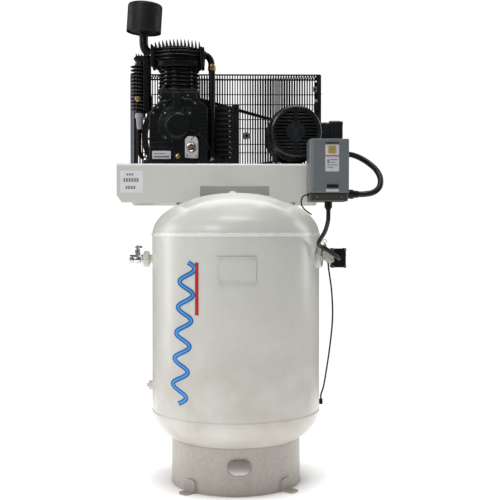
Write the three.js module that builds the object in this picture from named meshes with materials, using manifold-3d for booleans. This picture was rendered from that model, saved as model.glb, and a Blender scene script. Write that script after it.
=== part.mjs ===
// A vertical two-stage air compressor: an upright tank on a skirt, a deck welded over its dome, and
// on the deck a belt-driven pump, its motor, a belt guard and a starter. Millimetres, +Z up, the
// viewer's side is -Y. The tank's axis is the local origin; the last group centres the whole object.
import * as THREE from "three";
import { mergeVertices } from "three/addons/utils/BufferGeometryUtils.js";
import Module from "manifold-3d";

const wasm = await Module();
wasm.setup();

// ---------------------------------------------------------------- driving dimensions
const GAP = 0.3; // between pieces that touch

const TANK_RADIUS = 305;
const TANK_WALL = 6;
const HEAD_DEPTH = 152;
const BOTTOM_WELD_Z = 262;
const TOP_WELD_Z = 900;
const TANK_SIDES = 40;

const SKIRT_RADIUS = 235;
const SKIRT_WALL = 6;
const SKIRT_TURN = 3; // degrees the skirt is turned towards +X
const FOOT_WIDTH = 44;
const FOOT_REACH = 46;
const FOOT_PLATE = 6;
const FOOT_HEIGHT = 46;
const ANCHOR_HOLE_RADIUS = 7;

const DECK_LEFT = -412;
const DECK_RIGHT = 325;
const DECK_HALF_DEPTH = 185;
const DECK_TOP = 1146;
const DECK_SKIRT = 135;
const DECK_SHEET = 5;

const PUMP_X = -203;
const CRANK_Z = 1280;
const THROW = 30;
const CRANK_NOSE = 16; // radius of the crankshaft where the flywheel sits
const CASE_FRONT = -150;
const CASE_BACK = 84;
const CASE_TOP = 1409;
const DRAIN_PLUG_Z = 1173;
const FIRST_Y = -75;
const SECOND_Y = 42;
const FIRST_BORE = 50.3;
const SECOND_BORE = 26.3;
const HEAD_FLOOR = 1507;
const PISTON_CROWN = 1470;
const WRIST_Z = 1440;
const ROD_FOOT_Z = 1366;

const MOTOR_X = 209;
const MOTOR_Z = 1260;
const MOTOR_RADIUS = 98;
const MOTOR_BORE = 86;
const MOTOR_FRONT = -108;
const MOTOR_BACK = 78;
const SHAFT_RADIUS = 12;

const FLYWHEEL_RADIUS = 162;
const FLYWHEEL_HUB = 32;
const FLYWHEEL_RIM = 20;
const PULLEY_RADIUS = 70;
const SHEAVE_FRONT = 192;
const SHEAVE_BACK = 242;
const GROOVE_Y = [208, 228];
const GROOVE_DEPTH = 10;

const GUARD_LEFT = -403;
const GUARD_RIGHT = 327;
const GUARD_FRONT = 150;
const GUARD_BACK = 262;
const GUARD_TOP = 1513;
const GUARD_DROP = 1102; // its lower edge behind the deck
const GUARD_SHEET = 3;

const STARTER = { x0: 244, x1: 377, y0: -315, y1: -190, z0: 1012, z1: 1219 };
const STARTER_BAND = 28;
const BUTTON_PROUD = 3;
const SIDE_GLAND_END = 416;

const OUTLET_Z = 810;
const OUTLET_END = -389;
const SIDE_PLUG_Z = 347;
const SWITCH_ANGLE = 74; // degrees round from the front towards +X
const SWITCH_PORT_Z = 823;
const DRAIN_ANGLE = 92;
const DRAIN_Z = 278;
const DRAIN_STUB = TANK_RADIUS + 9.5; // the upright stub's distance from the tank's axis

const FILTER_X = -326;
const FILTER_Y = -100;
const FILTER_FOOT_Z = 1612;
const FILTER_TILT = 3.6; // degrees

// The object's box, without the free conduits, is centred on the origin.
const CENTRE_X = (DECK_LEFT + SIDE_GLAND_END) / 2;
const CENTRE_Y = (STARTER.y0 - BUTTON_PROUD + TANK_RADIUS) / 2;

// ---------------------------------------------------------------- materials
const finish = (color, roughness, metalness) => ({ color, roughness, metalness });
const PAINT = finish(0xbdbdb6, 0.4, 0.0);
const BLACK_IRON = finish(0x17191c, 0.42, 0.3);
const BLACK_STEEL = finish(0x1b1c1f, 0.45, 0.2);
const BARE_STEEL = finish(0x9a9b9c, 0.35, 0.9);
const ALUMINIUM = finish(0x8f9294, 0.45, 0.8);
const BRASS = finish(0xc8a560, 0.32, 0.9);
const COPPER = finish(0x3a2620, 0.4, 0.6);
const GREY_CAST = finish(0x8a8b8c, 0.5, 0.4);
const GREY_PAINT = finish(0x61686a, 0.4, 0.1);
const OLIVE_PAINT = finish(0x45463c, 0.5, 0.1);
const BLACK_PLASTIC = finish(0x141517, 0.5, 0.0);
const RUBBER = finish(0x101011, 0.7, 0.0);
const PAPER = finish(0xb9a98a, 0.9, 0.0);
const AMBER = finish(0x8a6a3a, 0.2, 0.0);
const CHARCOAL = finish(0x2d2f34, 0.55, 0.1);

// ---------------------------------------------------------------- solids
const radians = THREE.MathUtils.degToRad;

// A closed three.js geometry as a manifold solid, turned outward if its profile ran the other way.
function solid(geometry) {
  const bare = new THREE.BufferGeometry().setAttribute("position", geometry.getAttribute("position"));
  if (geometry.index) bare.setIndex(geometry.index);
  const merged = mergeVertices(bare.index ? bare.toNonIndexed() : bare, 1e-3);
  const corners = [];
  const index = merged.index.array;
  for (let i = 0; i < index.length; i += 3) {
    const [a, b, c] = [index[i], index[i + 1], index[i + 2]];
    if (a !== b && b !== c && c !== a) corners.push(a, b, c);
  }
  const build = (triangles) =>
    new wasm.Manifold(
      new wasm.Mesh({
        numProp: 3,
        vertProperties: merged.attributes.position.array,
        triVerts: new Uint32Array(triangles),
      }),
    );
  const made = build(corners);
  return made.volume() > 0 ? made : build(corners.reverse());
}

const join = (first, ...others) => others.reduce((whole, part) => whole.add(part), first);
const cut = (first, ...tools) => tools.reduce((whole, tool) => whole.subtract(tool), first);

function block([x0, x1], [y0, y1], [z0, z1]) {
  const box = new THREE.BoxGeometry(x1 - x0, y1 - y0, z1 - z0);
  return solid(box.translate((x0 + x1) / 2, (y0 + y1) / 2, (z0 + z1) / 2));
}

// Stands a shape made along +Y up along another axis.
function along(geometry, axis) {
  if (axis === "z") geometry.rotateX(Math.PI / 2);
  if (axis === "x") geometry.rotateZ(-Math.PI / 2);
  return geometry;
}

// A round bar along an axis. place gives the two other coordinates in x, y, z order.
function bar(axis, place, from, to, radius, sides = 16) {
  const round = along(new THREE.CylinderGeometry(radius, radius, to - from, sides), axis);
  return solid(round.translate(...onAxis(axis, place, (from + to) / 2)));
}

function onAxis(axis, [a, b], h) {
  return { x: [h, a, b], y: [a, h, b], z: [a, b, h] }[axis];
}

// A turned solid: profile is a list of [radius, height], closed on itself or on the axis.
function turned(profile, sides = 20) {
  const closed = profile[0][0] > 0 ? [...profile, profile[0]] : profile;
  return new THREE.LatheGeometry(closed.map(([r, h]) => new THREE.Vector2(r, h)), sides);
}

function turnedZ(profile, [x, y], sides) {
  return solid(turned(profile, sides).rotateX(Math.PI / 2).translate(x, y, 0));
}

function turnedY(profile, [x, z], sides) {
  return solid(turned(profile, sides).translate(x, 0, z));
}

function turnedX(profile, [y, z], sides) {
  return solid(turned(profile, sides).rotateZ(-Math.PI / 2).translate(0, y, z));
}

// A plate with an outline drawn in x and z, from y0 to y1.
function plateXZ(points, y0, y1, holes = []) {
  const shape = new THREE.Shape(points.map(([x, z]) => new THREE.Vector2(x, z)));
  for (const hole of holes) {
    shape.holes.push(new THREE.Path(hole.map(([x, z]) => new THREE.Vector2(x, z))));
  }
  const flat = new THREE.ExtrudeGeometry(shape, { depth: y1 - y0, bevelEnabled: false });
  return solid(flat.rotateX(Math.PI / 2).translate(0, y1, 0));
}

// A plate with an outline drawn in y and z, from x0 to x1.
function plateYZ(points, x0, x1) {
  const shape = new THREE.Shape(points.map(([y, z]) => new THREE.Vector2(y, z)));
  const flat = new THREE.ExtrudeGeometry(shape, { depth: x1 - x0, bevelEnabled: false });
  flat.rotateY(Math.PI / 2).rotateX(Math.PI / 2);
  return solid(flat.translate(x0, 0, 0));
}

// A round tube or bar bent along hand-placed points.
function bent(points, diameter, sides, steps) {
  const corners = points.map((p) => new THREE.Vector3(...p));
  const route = new THREE.CatmullRomCurve3(corners, false, "centripetal");
  const section = new THREE.Shape();
  section.moveTo(diameter / 2, 0);
  for (let i = 1; i < sides; i++) {
    const turn = (2 * Math.PI * i) / sides;
    section.lineTo((Math.cos(turn) * diameter) / 2, (Math.sin(turn) * diameter) / 2);
  }
  return solid(new THREE.ExtrudeGeometry(section, { steps, extrudePath: route }));
}

// A bar that points outward from the tank's axis, placed by its angle from the front.
function radialBar(angle, z, from, to, radius, sides = 16) {
  const spoke = new THREE.CylinderGeometry(radius, radius, to - from, sides);
  spoke.translate(0, -(from + to) / 2, 0).rotateZ(radians(angle)).translate(0, 0, z);
  return solid(spoke);
}

function radialPoint(angle, r, z) {
  return [r * Math.sin(radians(angle)), -r * Math.cos(radians(angle)), z];
}

// ---------------------------------------------------------------- tank
// The half-ellipse heads give the tank's profile from its lower tip to its upper one.
function tankProfile(radius, headDepth) {
  const steps = 5;
  const points = [];
  for (let i = 0; i <= steps; i++) {
    const t = (i / steps) * (Math.PI / 2);
    points.push([radius * Math.sin(t), BOTTOM_WELD_Z - headDepth * Math.cos(t)]);
  }
  for (let i = steps; i >= 0; i--) {
    const t = (i / steps) * (Math.PI / 2);
    points.push([radius * Math.sin(t), TOP_WELD_Z + headDepth * Math.cos(t)]);
  }
  return points;
}

const tankBody = (grow) => turnedZ(tankProfile(TANK_RADIUS + grow, HEAD_DEPTH + grow), [0, 0], TANK_SIDES);

function tankShell() {
  const bung = radialBar(SWITCH_ANGLE, SWITCH_PORT_Z - 6, TANK_RADIUS - 20, TANK_RADIUS + 8, 36);
  const ports = [
    bar("x", [0, OUTLET_Z], -TANK_RADIUS - 10, -TANK_RADIUS + 40, 9),
    bar("x", [0, SIDE_PLUG_Z], -TANK_RADIUS - 10, -TANK_RADIUS + 40, 10),
    radialBar(SWITCH_ANGLE, SWITCH_PORT_Z, TANK_RADIUS - 40, TANK_RADIUS + 20, 6),
    radialBar(DRAIN_ANGLE, DRAIN_Z, TANK_RADIUS - 40, TANK_RADIUS + 20, 5),
  ];
  return cut(tankBody(0).add(bung), tankBody(-TANK_WALL), ...ports);
}

// The skirt is a rolled ring with a hand hole in front and four welded anchor feet.
function baseRing() {
  const top = 160;
  const wall = [
    [SKIRT_RADIUS - SKIRT_WALL, 0],
    [SKIRT_RADIUS, 0],
    [SKIRT_RADIUS, top],
    [SKIRT_RADIUS - SKIRT_WALL, top],
  ];
  const half = 13;
  const handHole = join(
    block([-half, half], [-SKIRT_RADIUS - 20, -SKIRT_RADIUS + 30], [71, 133]),
    bar("y", [-half, 102], -SKIRT_RADIUS - 20, -SKIRT_RADIUS + 30, 31, 20),
    bar("y", [half, 102], -SKIRT_RADIUS - 20, -SKIRT_RADIUS + 30, 31, 20),
  );
  const ring = cut(turnedZ(wall, [0, 0], TANK_SIDES), handHole.rotate([0, 0, SKIRT_TURN]));
  return join(ring, ...[-45, 45, 135, 225].map((angle) => foot().rotate([0, 0, angle + SKIRT_TURN])));
}

function foot() {
  const inner = -(SKIRT_RADIUS - SKIRT_WALL / 2);
  const outer = -(SKIRT_RADIUS + FOOT_REACH);
  const w = FOOT_WIDTH / 2;
  const tab = block([-w, w], [outer, inner], [0, FOOT_PLATE]);
  const leg = block([-w, w], [-(SKIRT_RADIUS + FOOT_PLATE), inner], [0, FOOT_HEIGHT]);
  const hole = bar("z", [0, outer + FOOT_REACH / 2], -1, FOOT_PLATE + 1, ANCHOR_HOLE_RADIUS, 16);
  return cut(tab, hole).add(leg);
}

function dataPlate() {
  const curve = (r) => bar("z", [0, 0], 737, 825, r, 120);
  const window = block([-61, 67], [-TANK_RADIUS - 10, 0], [737, 825]);
  return cut(curve(TANK_RADIUS + 3), curve(TANK_RADIUS + 0.8)).intersect(window);
}

// ---------------------------------------------------------------- deck
// A channel with turned-down edges. The long edges have clipped corners, and a step that clears the dome.
function deck() {
  const low = DECK_TOP - DECK_SKIRT;
  const edge = [
    [DECK_LEFT, DECK_TOP],
    [DECK_LEFT, low + 24],
    [DECK_LEFT + 18, low],
    [-180, low],
    [-150, low + 13],
    [-124, low + 20],
    [-124, low + 57],
    [116, low + 57],
    [116, low + 20],
    [142, low + 13],
    [172, low],
    [DECK_RIGHT - 18, low],
    [DECK_RIGHT, low + 24],
    [DECK_RIGHT, DECK_TOP],
  ];
  const d = DECK_HALF_DEPTH;
  const sheet = [DECK_TOP - DECK_SHEET, DECK_TOP];
  return join(
    block([DECK_LEFT, DECK_RIGHT], [-d, d], sheet),
    plateXZ(edge, -d, -d + DECK_SHEET),
    plateXZ(edge, d - DECK_SHEET, d),
    block([DECK_LEFT, DECK_LEFT + DECK_SHEET], [-d, d], [low + 40, DECK_TOP]),
    block([DECK_RIGHT - DECK_SHEET, DECK_RIGHT], [-d, d], [low + 40, DECK_TOP]),
  );
}

// The upright web that carries the deck on the dome.
function deckSaddle() {
  const web = block([-216, 216], [-4, 4], [1014, DECK_TOP - DECK_SHEET - GAP]);
  return cut(web, tankBody(0.6));
}

// ---------------------------------------------------------------- tank fittings
const ON_TANK = -TANK_RADIUS - 0.5; // where a fitting starts on the tank's left side
const HANDLE_X = -360;

const outletBung = () =>
  turnedX(
    [[9, ON_TANK], [15, ON_TANK], [15, -317], [29.5, -319], [29.5, -336], [26, -338], [9, -338]],
    [0, OUTLET_Z],
    20,
  );

const NECK_HEIGHT = 34; // from the outlet's axis to the top of the valve's neck

function outletValveBody() {
  const barrel = turnedX(
    [[8, -338.4], [14, -338.4], [16, -344], [16, -376], [14, -380], [14, OUTLET_END], [8, OUTLET_END]],
    [0, OUTLET_Z],
    16,
  );
  const neck = bar("z", [HANDLE_X, 0], OUTLET_Z, OUTLET_Z + NECK_HEIGHT, 10, 20);
  return join(barrel, cut(neck, bar("x", [0, OUTLET_Z], -400, -330, 12, 20)));
}

function outletValveHandle() {
  const foot = OUTLET_Z + NECK_HEIGHT + GAP;
  return join(
    bar("z", [HANDLE_X, 0], foot, foot + 8, 7, 20),
    block([HANDLE_X - 10, HANDLE_X + 10], [-9, 76], [foot + 7, foot + 11]),
    bar("z", [HANDLE_X, 0], foot + 10, foot + 15, 5, 12),
  );
}

const sidePlug = () =>
  turnedX([[0, ON_TANK], [16, ON_TANK], [16, -319], [9, -319], [9, -326], [0, -326]], [0, SIDE_PLUG_Z], 20);

// The cast body that joins the tank, the pressure switch and the safety valve.
const MANIFOLD = { y0: -108, y1: -66, top: 841 };

function switchManifold() {
  const casting = [
    [309, 818], [309, 841], [331, 841], [341, 836], [350, 822], [350, 804], [340, 800], [325, 800],
  ];
  const nipple = radialBar(SWITCH_ANGLE, SWITCH_PORT_Z, TANK_RADIUS + 8 + GAP, TANK_RADIUS + 24, 6.5, 16);
  return plateXZ(casting, MANIFOLD.y0, MANIFOLD.y1).add(nipple);
}

function pressureSwitch() {
  const outline = roundedRectangle(343, 399, 779, 851, 7);
  return join(
    plateXZ(outline, MANIFOLD.y1 + GAP, -20),
    plateXZ(roundedRectangle(347, 395, 783, 847, 5), -20.5, -8),
  );
}

function roundedRectangle(x0, x1, z0, z1, r, steps = 3) {
  const points = [];
  const corners = [[x1 - r, z1 - r, 0], [x0 + r, z1 - r, 90], [x0 + r, z0 + r, 180], [x1 - r, z0 + r, 270]];
  for (const [cx, cz, start] of corners)
    for (let i = 0; i <= steps; i++) {
      const turn = radians(start + (90 * i) / steps);
      points.push([cx + r * Math.cos(turn), cz + r * Math.sin(turn)]);
    }
  return points;
}

const SAFETY = { x: 318, y: -87, top: 867 };

function safetyValveBody() {
  const { x, y, top } = SAFETY;
  const foot = MANIFOLD.top + GAP;
  return turnedZ([[0, foot], [7, foot], [7, 850], [9, 850], [9, 860], [5, top], [0, top]], [x, y], 16);
}

function safetyValveRing() {
  const stem = bar("z", [SAFETY.x, SAFETY.y], SAFETY.top + GAP, SAFETY.top + 4, 1.8, 10);
  const ring = new THREE.TorusGeometry(6.5, 1.3, 6, 16).rotateX(Math.PI / 2);
  return stem.add(solid(ring.translate(SAFETY.x, SAFETY.y, SAFETY.top + 9)));
}

function drainFitting() {
  const elbow = radialBar(DRAIN_ANGLE, DRAIN_Z, TANK_RADIUS + 1, TANK_RADIUS + 16, 7, 16);
  const [x, y] = radialPoint(DRAIN_ANGLE, DRAIN_STUB, DRAIN_Z);
  return elbow.add(bar("z", [x, y], DRAIN_Z, DRAIN_Z + 14, 5.5, 16));
}

// ---------------------------------------------------------------- pump
const CASE_OUTLINE = [
  [-327, DECK_TOP + GAP], [-70, DECK_TOP + GAP], [-70, 1160], [-99, 1162], [-99, 1350], [-137, 1396],
  [-137, CASE_TOP], [-269, CASE_TOP], [-269, 1392], [-303, 1330], [-303, 1162], [-327, 1160],
];
const CASE_HOLLOW = [
  [-293, 1164], [-110, 1164], [-110, 1345], [-146, 1388],
  [-146, 1396], [-260, 1396], [-260, 1384], [-293, 1325],
];

function crankcase() {
  const ribs = [1240, 1280, 1320].map((z) => block([-309, -302], [-120, 60], [z - 3, z + 3]));
  const bolts = [[-318, -110], [-318, 50], [-82, -110], [-82, 50]].map(([x, y]) =>
    bar("z", [x, y], 1158, 1168, 8, 6),
  );
  const body = cut(
    plateXZ(CASE_OUTLINE, CASE_FRONT, CASE_BACK),
    plateXZ(CASE_HOLLOW, CASE_FRONT + 12, CASE_BACK - 12),
    bar("z", [PUMP_X, FIRST_Y], 1390, CASE_TOP + 5, 56, 24),
    bar("z", [PUMP_X, SECOND_Y], 1390, CASE_TOP + 5, 32, 20),
    bar("y", [PUMP_X, CRANK_Z], CASE_FRONT - 5, CASE_FRONT + 20, 38.6, 24),
    bar("y", [PUMP_X, CRANK_Z], CASE_BACK - 20, CASE_BACK + 5, 36, 24),
    bar("y", [PUMP_X, DRAIN_PLUG_Z], CASE_FRONT - 5, CASE_FRONT + 8, 6.5, 12),
  );
  return join(body, ...ribs, ...bolts);
}

function bearingCover() {
  const face = CASE_FRONT - GAP;
  const cap = turnedY(
    [
      [0, face - 22], [38, face - 22], [44, face - 16], [44, face - 8], [70, face - 6], [70, face],
      [38, face], [38, face + 12], [21, face + 12], [21, face - 10], [0, face - 10],
    ],
    [PUMP_X, CRANK_Z],
    24,
  );
  const bolts = [45, 135, 225].map((angle) => {
    const x = PUMP_X + 60 * Math.cos(radians(angle));
    const z = CRANK_Z + 60 * Math.sin(radians(angle));
    return bar("y", [x, z], face - 11, face - 5, 6, 6);
  });
  return join(cap, ...bolts);
}

// The crank is drawn at mid-stroke: its pins lie level, one each side of the shaft.
function crankshaft() {
  const centre = [PUMP_X, CRANK_Z];
  const web = (y0, y1) => bar("y", centre, y0, y1, 46, 20);
  return join(
    bar("y", centre, CASE_FRONT - 5, -107, 20),
    web(-108, -97),
    bar("y", [PUMP_X + THROW, CRANK_Z], -98, -53, 16),
    web(-54, -43),
    bar("y", centre, -44, 13, 20),
    web(12, 22),
    bar("y", [PUMP_X - THROW, CRANK_Z], 21, 62, 16),
    web(61, 70),
    bar("y", centre, 69, 170, 20),
    bar("y", centre, 169, SHEAVE_BACK + 8, CRANK_NOSE),
  );
}

const crankBearing = () =>
  turnedY([[20.4, 72.6], [35.6, 72.6], [35.6, CASE_BACK], [20.4, CASE_BACK]], [PUMP_X, CRANK_Z], 24);

// A grooved rim's outer profile, with a flat-bottomed groove at each belt.
function groovedRim(radius, innerRadius, half = 7.5) {
  const floor = radius - GROOVE_DEPTH;
  const grooves = GROOVE_Y.flatMap((y) => [
    [radius, y - half], [floor, y - half], [floor, y + half], [radius, y + half],
  ]);
  return [
    [innerRadius, SHEAVE_FRONT], [radius, SHEAVE_FRONT], ...grooves,
    [radius, SHEAVE_BACK], [innerRadius, SHEAVE_BACK],
  ];
}

function flywheel() {
  const centre = [PUMP_X, CRANK_Z];
  const inside = FLYWHEEL_RADIUS - FLYWHEEL_RIM;
  const rim = turnedY(groovedRim(FLYWHEEL_RADIUS, inside), centre, 40);
  const [front, back] = [SHEAVE_FRONT - 2, SHEAVE_BACK + 2];
  const bore = CRANK_NOSE + 0.4;
  const boss = [[bore, front], [FLYWHEEL_HUB, front], [FLYWHEEL_HUB, back], [bore, back]];
  const hub = turnedY(boss, centre, 20);
  const reach = inside - FLYWHEEL_HUB + 8;
  const middle = (SHEAVE_FRONT + SHEAVE_BACK) / 2;
  const spokes = [0, 72, 144, 216, 288].map((angle) => {
    const spoke = new THREE.BoxGeometry(reach, 12, 26).translate((inside + FLYWHEEL_HUB) / 2, middle, 0);
    return solid(spoke.rotateY(radians(angle)).translate(PUMP_X, 0, CRANK_Z));
  });
  return join(rim, hub, ...spokes);
}

// A cylinder barrel with cooling fins between two flanges.
function finnedBarrel([x, y], bore, core, fin, count, sides) {
  const low = CASE_TOP + GAP;
  const high = HEAD_FLOOR - GAP;
  const pitch = (high - low) / count;
  const profile = [[bore, low], [fin - 4, low]];
  for (let i = 0; i < count; i++) {
    const z = low + pitch * i;
    profile.push([fin, z + 0.1 * pitch], [fin, z + 0.35 * pitch], [core, z + 0.7 * pitch]);
  }
  return turnedZ([...profile, [fin - 4, high], [bore, high]], [x, y], sides);
}

const firstCylinder = () => finnedBarrel([PUMP_X, FIRST_Y], FIRST_BORE, 59, 71, 6, 24);
const secondCylinder = () => finnedBarrel([PUMP_X, SECOND_Y], SECOND_BORE, 34, 43, 4, 18);

// The first stage's head: two valve chambers below, pointed ears at its ends and upright fins on top.
function firstHead() {
  const outline = [
    [-303, HEAD_FLOOR], [-113, HEAD_FLOOR], [-113, 1565], [-125, 1565], [-135, 1570],
    [-285, 1570], [-292, 1575], [-303, 1575],
  ];
  const chambers = [[-268, -212], [-194, -142]].map((x) => block(x, [-120, -30], [HEAD_FLOOR - 1, 1545]));
  const fins = [];
  for (let i = 0; i < 13; i++) {
    const x = -287 + i * 12.75;
    const rise = 1591 - 0.0011 * (x - PUMP_X) ** 2;
    fins.push(block([x - 1.6, x + 1.6], [-140, -10], [1568, rise]));
  }
  return join(cut(plateXZ(outline, -147, -3), ...chambers), ...fins);
}

function secondHead() {
  const body = block([-251, -155], [0, 86], [HEAD_FLOOR, 1552]);
  const fins = [-2, -1, 0, 1, 2].map((i) => {
    const x = PUMP_X + 18 * i;
    return block([x - 2, x + 2], [4, 82], [1550, 1566]);
  });
  return join(cut(body, block([-228, -178], [20, 64], [HEAD_FLOOR - 1, 1538])), ...fins);
}

// A cup-shaped piston with its wrist pin.
function piston(y, radius, pin) {
  const crown = PISTON_CROWN;
  const foot = crown - 48;
  const wall = radius - 5;
  const under = crown - 9;
  const cup = turnedZ(
    [[0, crown], [radius, crown], [radius, foot], [wall, foot], [wall, under], [0, under]],
    [PUMP_X, y],
    24,
  );
  return cup.add(bar("y", [PUMP_X, WRIST_Z], y - wall - 2, y + wall + 2, pin, 16));
}

// A rod that hangs from the wrist pin and stops above the crank's sweep.
function rod(y, pin, eye, halfWidth) {
  const wrist = [PUMP_X, WRIST_Z];
  const [front, back] = [y - halfWidth, y + halfWidth];
  const ring = bar("y", wrist, front, back, eye, 24);
  const shank = block([PUMP_X - 7, PUMP_X + 7], [front + 2, back - 2], [ROD_FOOT_Z, WRIST_Z - pin - 2]);
  return cut(ring.add(shank), bar("y", wrist, front - 1, back + 1, pin + 0.4, 24));
}

const INTERCOOLER = { x: -343, y: -40, foot: 1337, top: 1516 };

function intercooler() {
  const { x, y, foot, top } = INTERCOOLER;
  const low = foot + 8;
  const pitch = 12.7;
  const profile = [[0, foot], [22, foot]];
  for (let i = 0; i < 13; i++) {
    const z = low + pitch * i;
    profile.push([22, z], [37, z + 4], [22, z + 8]);
  }
  const column = turnedZ([...profile, [22, top], [0, top]], [x, y], 14);
  const cap = block([-366, -303 - GAP], [y - 30, y + 30], [top - 2, 1545]);
  const link = block([-331, -303.5], [y - 14, y + 14], [1340, 1402]);
  return join(column, cap, link);
}

function intercoolerPipe() {
  const [x, y] = [-348, INTERCOOLER.y];
  const rim = INTERCOOLER.foot - GAP;
  const cup = turnedZ([[0, 1278], [8, 1278], [13, 1318], [15, 1320], [15, rim], [0, rim]], [x, y], 20);
  const route = [
    [x, y, 1284], [x, y, 1240], [x, y, 1204], [x + 4, y, 1184],
    [x + 18, y, 1175], [x + 32, y, 1174], [-303.6, y, 1174],
  ];
  return cup.add(bent(route, 14, 8, 10));
}

const reliefFitting = () =>
  turnedY(
    [[0, -104], [7, -104], [7, -96], [11, -94], [11, -84], [6, -82], [6, -77.6], [0, -77.6]],
    [-349, 1381],
    16,
  );

function dischargeTube() {
  const y = FIRST_Y;
  const route = [
    [-112.6, y, 1546], [-106, y, 1546], [-96, y, 1542], [-88, y, 1530], [-86, y, 1510], [-86, y, 1430],
    [-86, y, 1340], [-86, y, 1250], [-86, y, COOLER.inlet + GAP],
  ];
  return bent(route, 21, 10, 20);
}

const COOLER = { x0: -73, x1: -13, post: 13, y0: -40, y1: 60, top: 1369, inlet: 1178, pitch: 18.7 };

function aftercooler() {
  const { x0, x1, post, y0, y1, top, inlet, pitch } = COOLER;
  const fins = [];
  for (let z = inlet + 6; z < top - 14; z += pitch) fins.push(block([x0, x1 + 1], [y0, y1], [z, z + 8]));
  return join(
    block([x1, post], [y0, y1], [DECK_TOP + GAP, top]),
    block([x0, x1 + 1], [y0, y1], [inlet - 13, inlet]),
    block([-98, x0 + 14], [FIRST_Y - 14, y0 + 10], [inlet - 14, inlet]),
    block([x0 + 8, x1 - 8], [y0 + 24, y1 - 24], [inlet - 1, top - 10]),
    ...fins,
  );
}

// ---------------------------------------------------------------- intake filter
function filterElbow() {
  const y = FILTER_Y;
  const route = [
    [-286, y, 1536], [-303, y, 1540], [-314, y, 1546.5], [-322, y, 1557],
    [-325.5, y, 1572], [FILTER_X, y, 1592], [FILTER_X, y, FILTER_FOOT_Z],
  ];
  const inHead = block([-303 - GAP, -250], [y - 30, y + 30], [1500, 1590]);
  return cut(bent(route, 28, 10, 10), inHead);
}

// The next two are drawn upright about their own foot, and the group that holds them leans.
const filterElement = () =>
  turnedZ([[0, 1.6], [17, 1.6], [17, 14], [53, 16], [53, 82], [25, 82], [25, 20], [0, 20]], [0, 0], 28);

const filterHousing = () =>
  turnedZ(
    [
      [58, 14], [61, 14], [61, 96], [57, 102], [30, 107], [0, 108.5],
      [0, 105.5], [30, 104], [55, 99.5], [58, 95],
    ],
    [0, 0],
    24,
  );

// ---------------------------------------------------------------- oil sight and plugs
const SIGHT = { x: -154, z: 1203.5, face: CASE_FRONT - 15 };

// The plate stands proud of the bearing cover's flange and is relieved behind it.
function oilSightPlate() {
  const outline = [[-178, 1166], [-130, 1166], [-130, 1232], [-138, 1241], [-170, 1241], [-178, 1232]];
  const relief = bar("y", [PUMP_X, CRANK_Z], CASE_FRONT - 9.5, CASE_FRONT + 1, 70.8, 32);
  const bore = bar("y", [SIGHT.x, SIGHT.z], SIGHT.face - 2, SIGHT.face + 8, 9.6, 16);
  return cut(plateXZ(outline, SIGHT.face, CASE_FRONT - GAP), relief, bore);
}

function sightGlass() {
  const { x, z, face } = SIGHT;
  const profile = [
    [0, face + 7], [9, face + 7], [9, face - GAP], [16, face - GAP],
    [16, face - 5], [9, face - 5], [9, face - 2], [0, face - 2],
  ];
  return turnedY(profile, [x, z], 16);
}

const oilDrainPlug = () =>
  join(
    bar("y", [PUMP_X, DRAIN_PLUG_Z], CASE_FRONT - 9, CASE_FRONT - GAP, 8.7, 6),
    bar("y", [PUMP_X, DRAIN_PLUG_Z], CASE_FRONT - 1, CASE_FRONT + 7, 6, 12),
  );

// ---------------------------------------------------------------- motor
function motorFrame() {
  const bore = SHAFT_RADIUS + 0.6;
  const inside = MOTOR_FRONT + 10;
  const shell = turnedY(
    [
      [bore, MOTOR_FRONT], [MOTOR_RADIUS, MOTOR_FRONT], [MOTOR_RADIUS, 52], [102, 52],
      [102, 64], [72, MOTOR_BACK], [bore, MOTOR_BACK], [bore, 66], [70, 64],
      [MOTOR_BORE, 56], [MOTOR_BORE, inside], [bore, inside],
    ],
    [MOTOR_X, MOTOR_Z],
    32,
  );
  const floor = DECK_TOP + GAP;
  const feet = [-1, 1].map((side) => {
    const x = MOTOR_X + side * 66;
    return join(
      block([x - 20, x + 20], [-70, 50], [floor, floor + 8]),
      block([x - 8, x + 8], [-60, 40], [floor, MOTOR_Z - 66]),
    );
  });
  const hollow = bar("y", [MOTOR_X, MOTOR_Z], inside, 56, MOTOR_BORE, 32);
  const crest = MOTOR_Z + MOTOR_RADIUS;
  const eye = block([MOTOR_X - 5, MOTOR_X + 5], [-20, 0], [crest - 4, crest + 8]);
  return join(shell, ...feet.map((one) => cut(one, hollow)), eye);
}

const motorRotor = () =>
  join(
    bar("y", [MOTOR_X, MOTOR_Z], -164, SHEAVE_BACK + 2, SHAFT_RADIUS, 24),
    bar("y", [MOTOR_X, MOTOR_Z], -70, 40, 54, 24),
  );

function coolingFan() {
  const bore = SHAFT_RADIUS + 0.4;
  const hub = turnedY(
    [[bore, -150], [22, -150], [22, -128], [82, -126], [82, -122], [bore, -122]],
    [MOTOR_X, MOTOR_Z],
    28,
  );
  const blades = [0, 45, 90, 135, 180, 225, 270, 315].map((angle) => {
    const blade = new THREE.BoxGeometry(60, 23, 3).translate(51, -137, 0);
    return solid(blade.rotateY(radians(angle)).translate(MOTOR_X, 0, MOTOR_Z));
  });
  return join(hub, ...blades);
}

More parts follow.
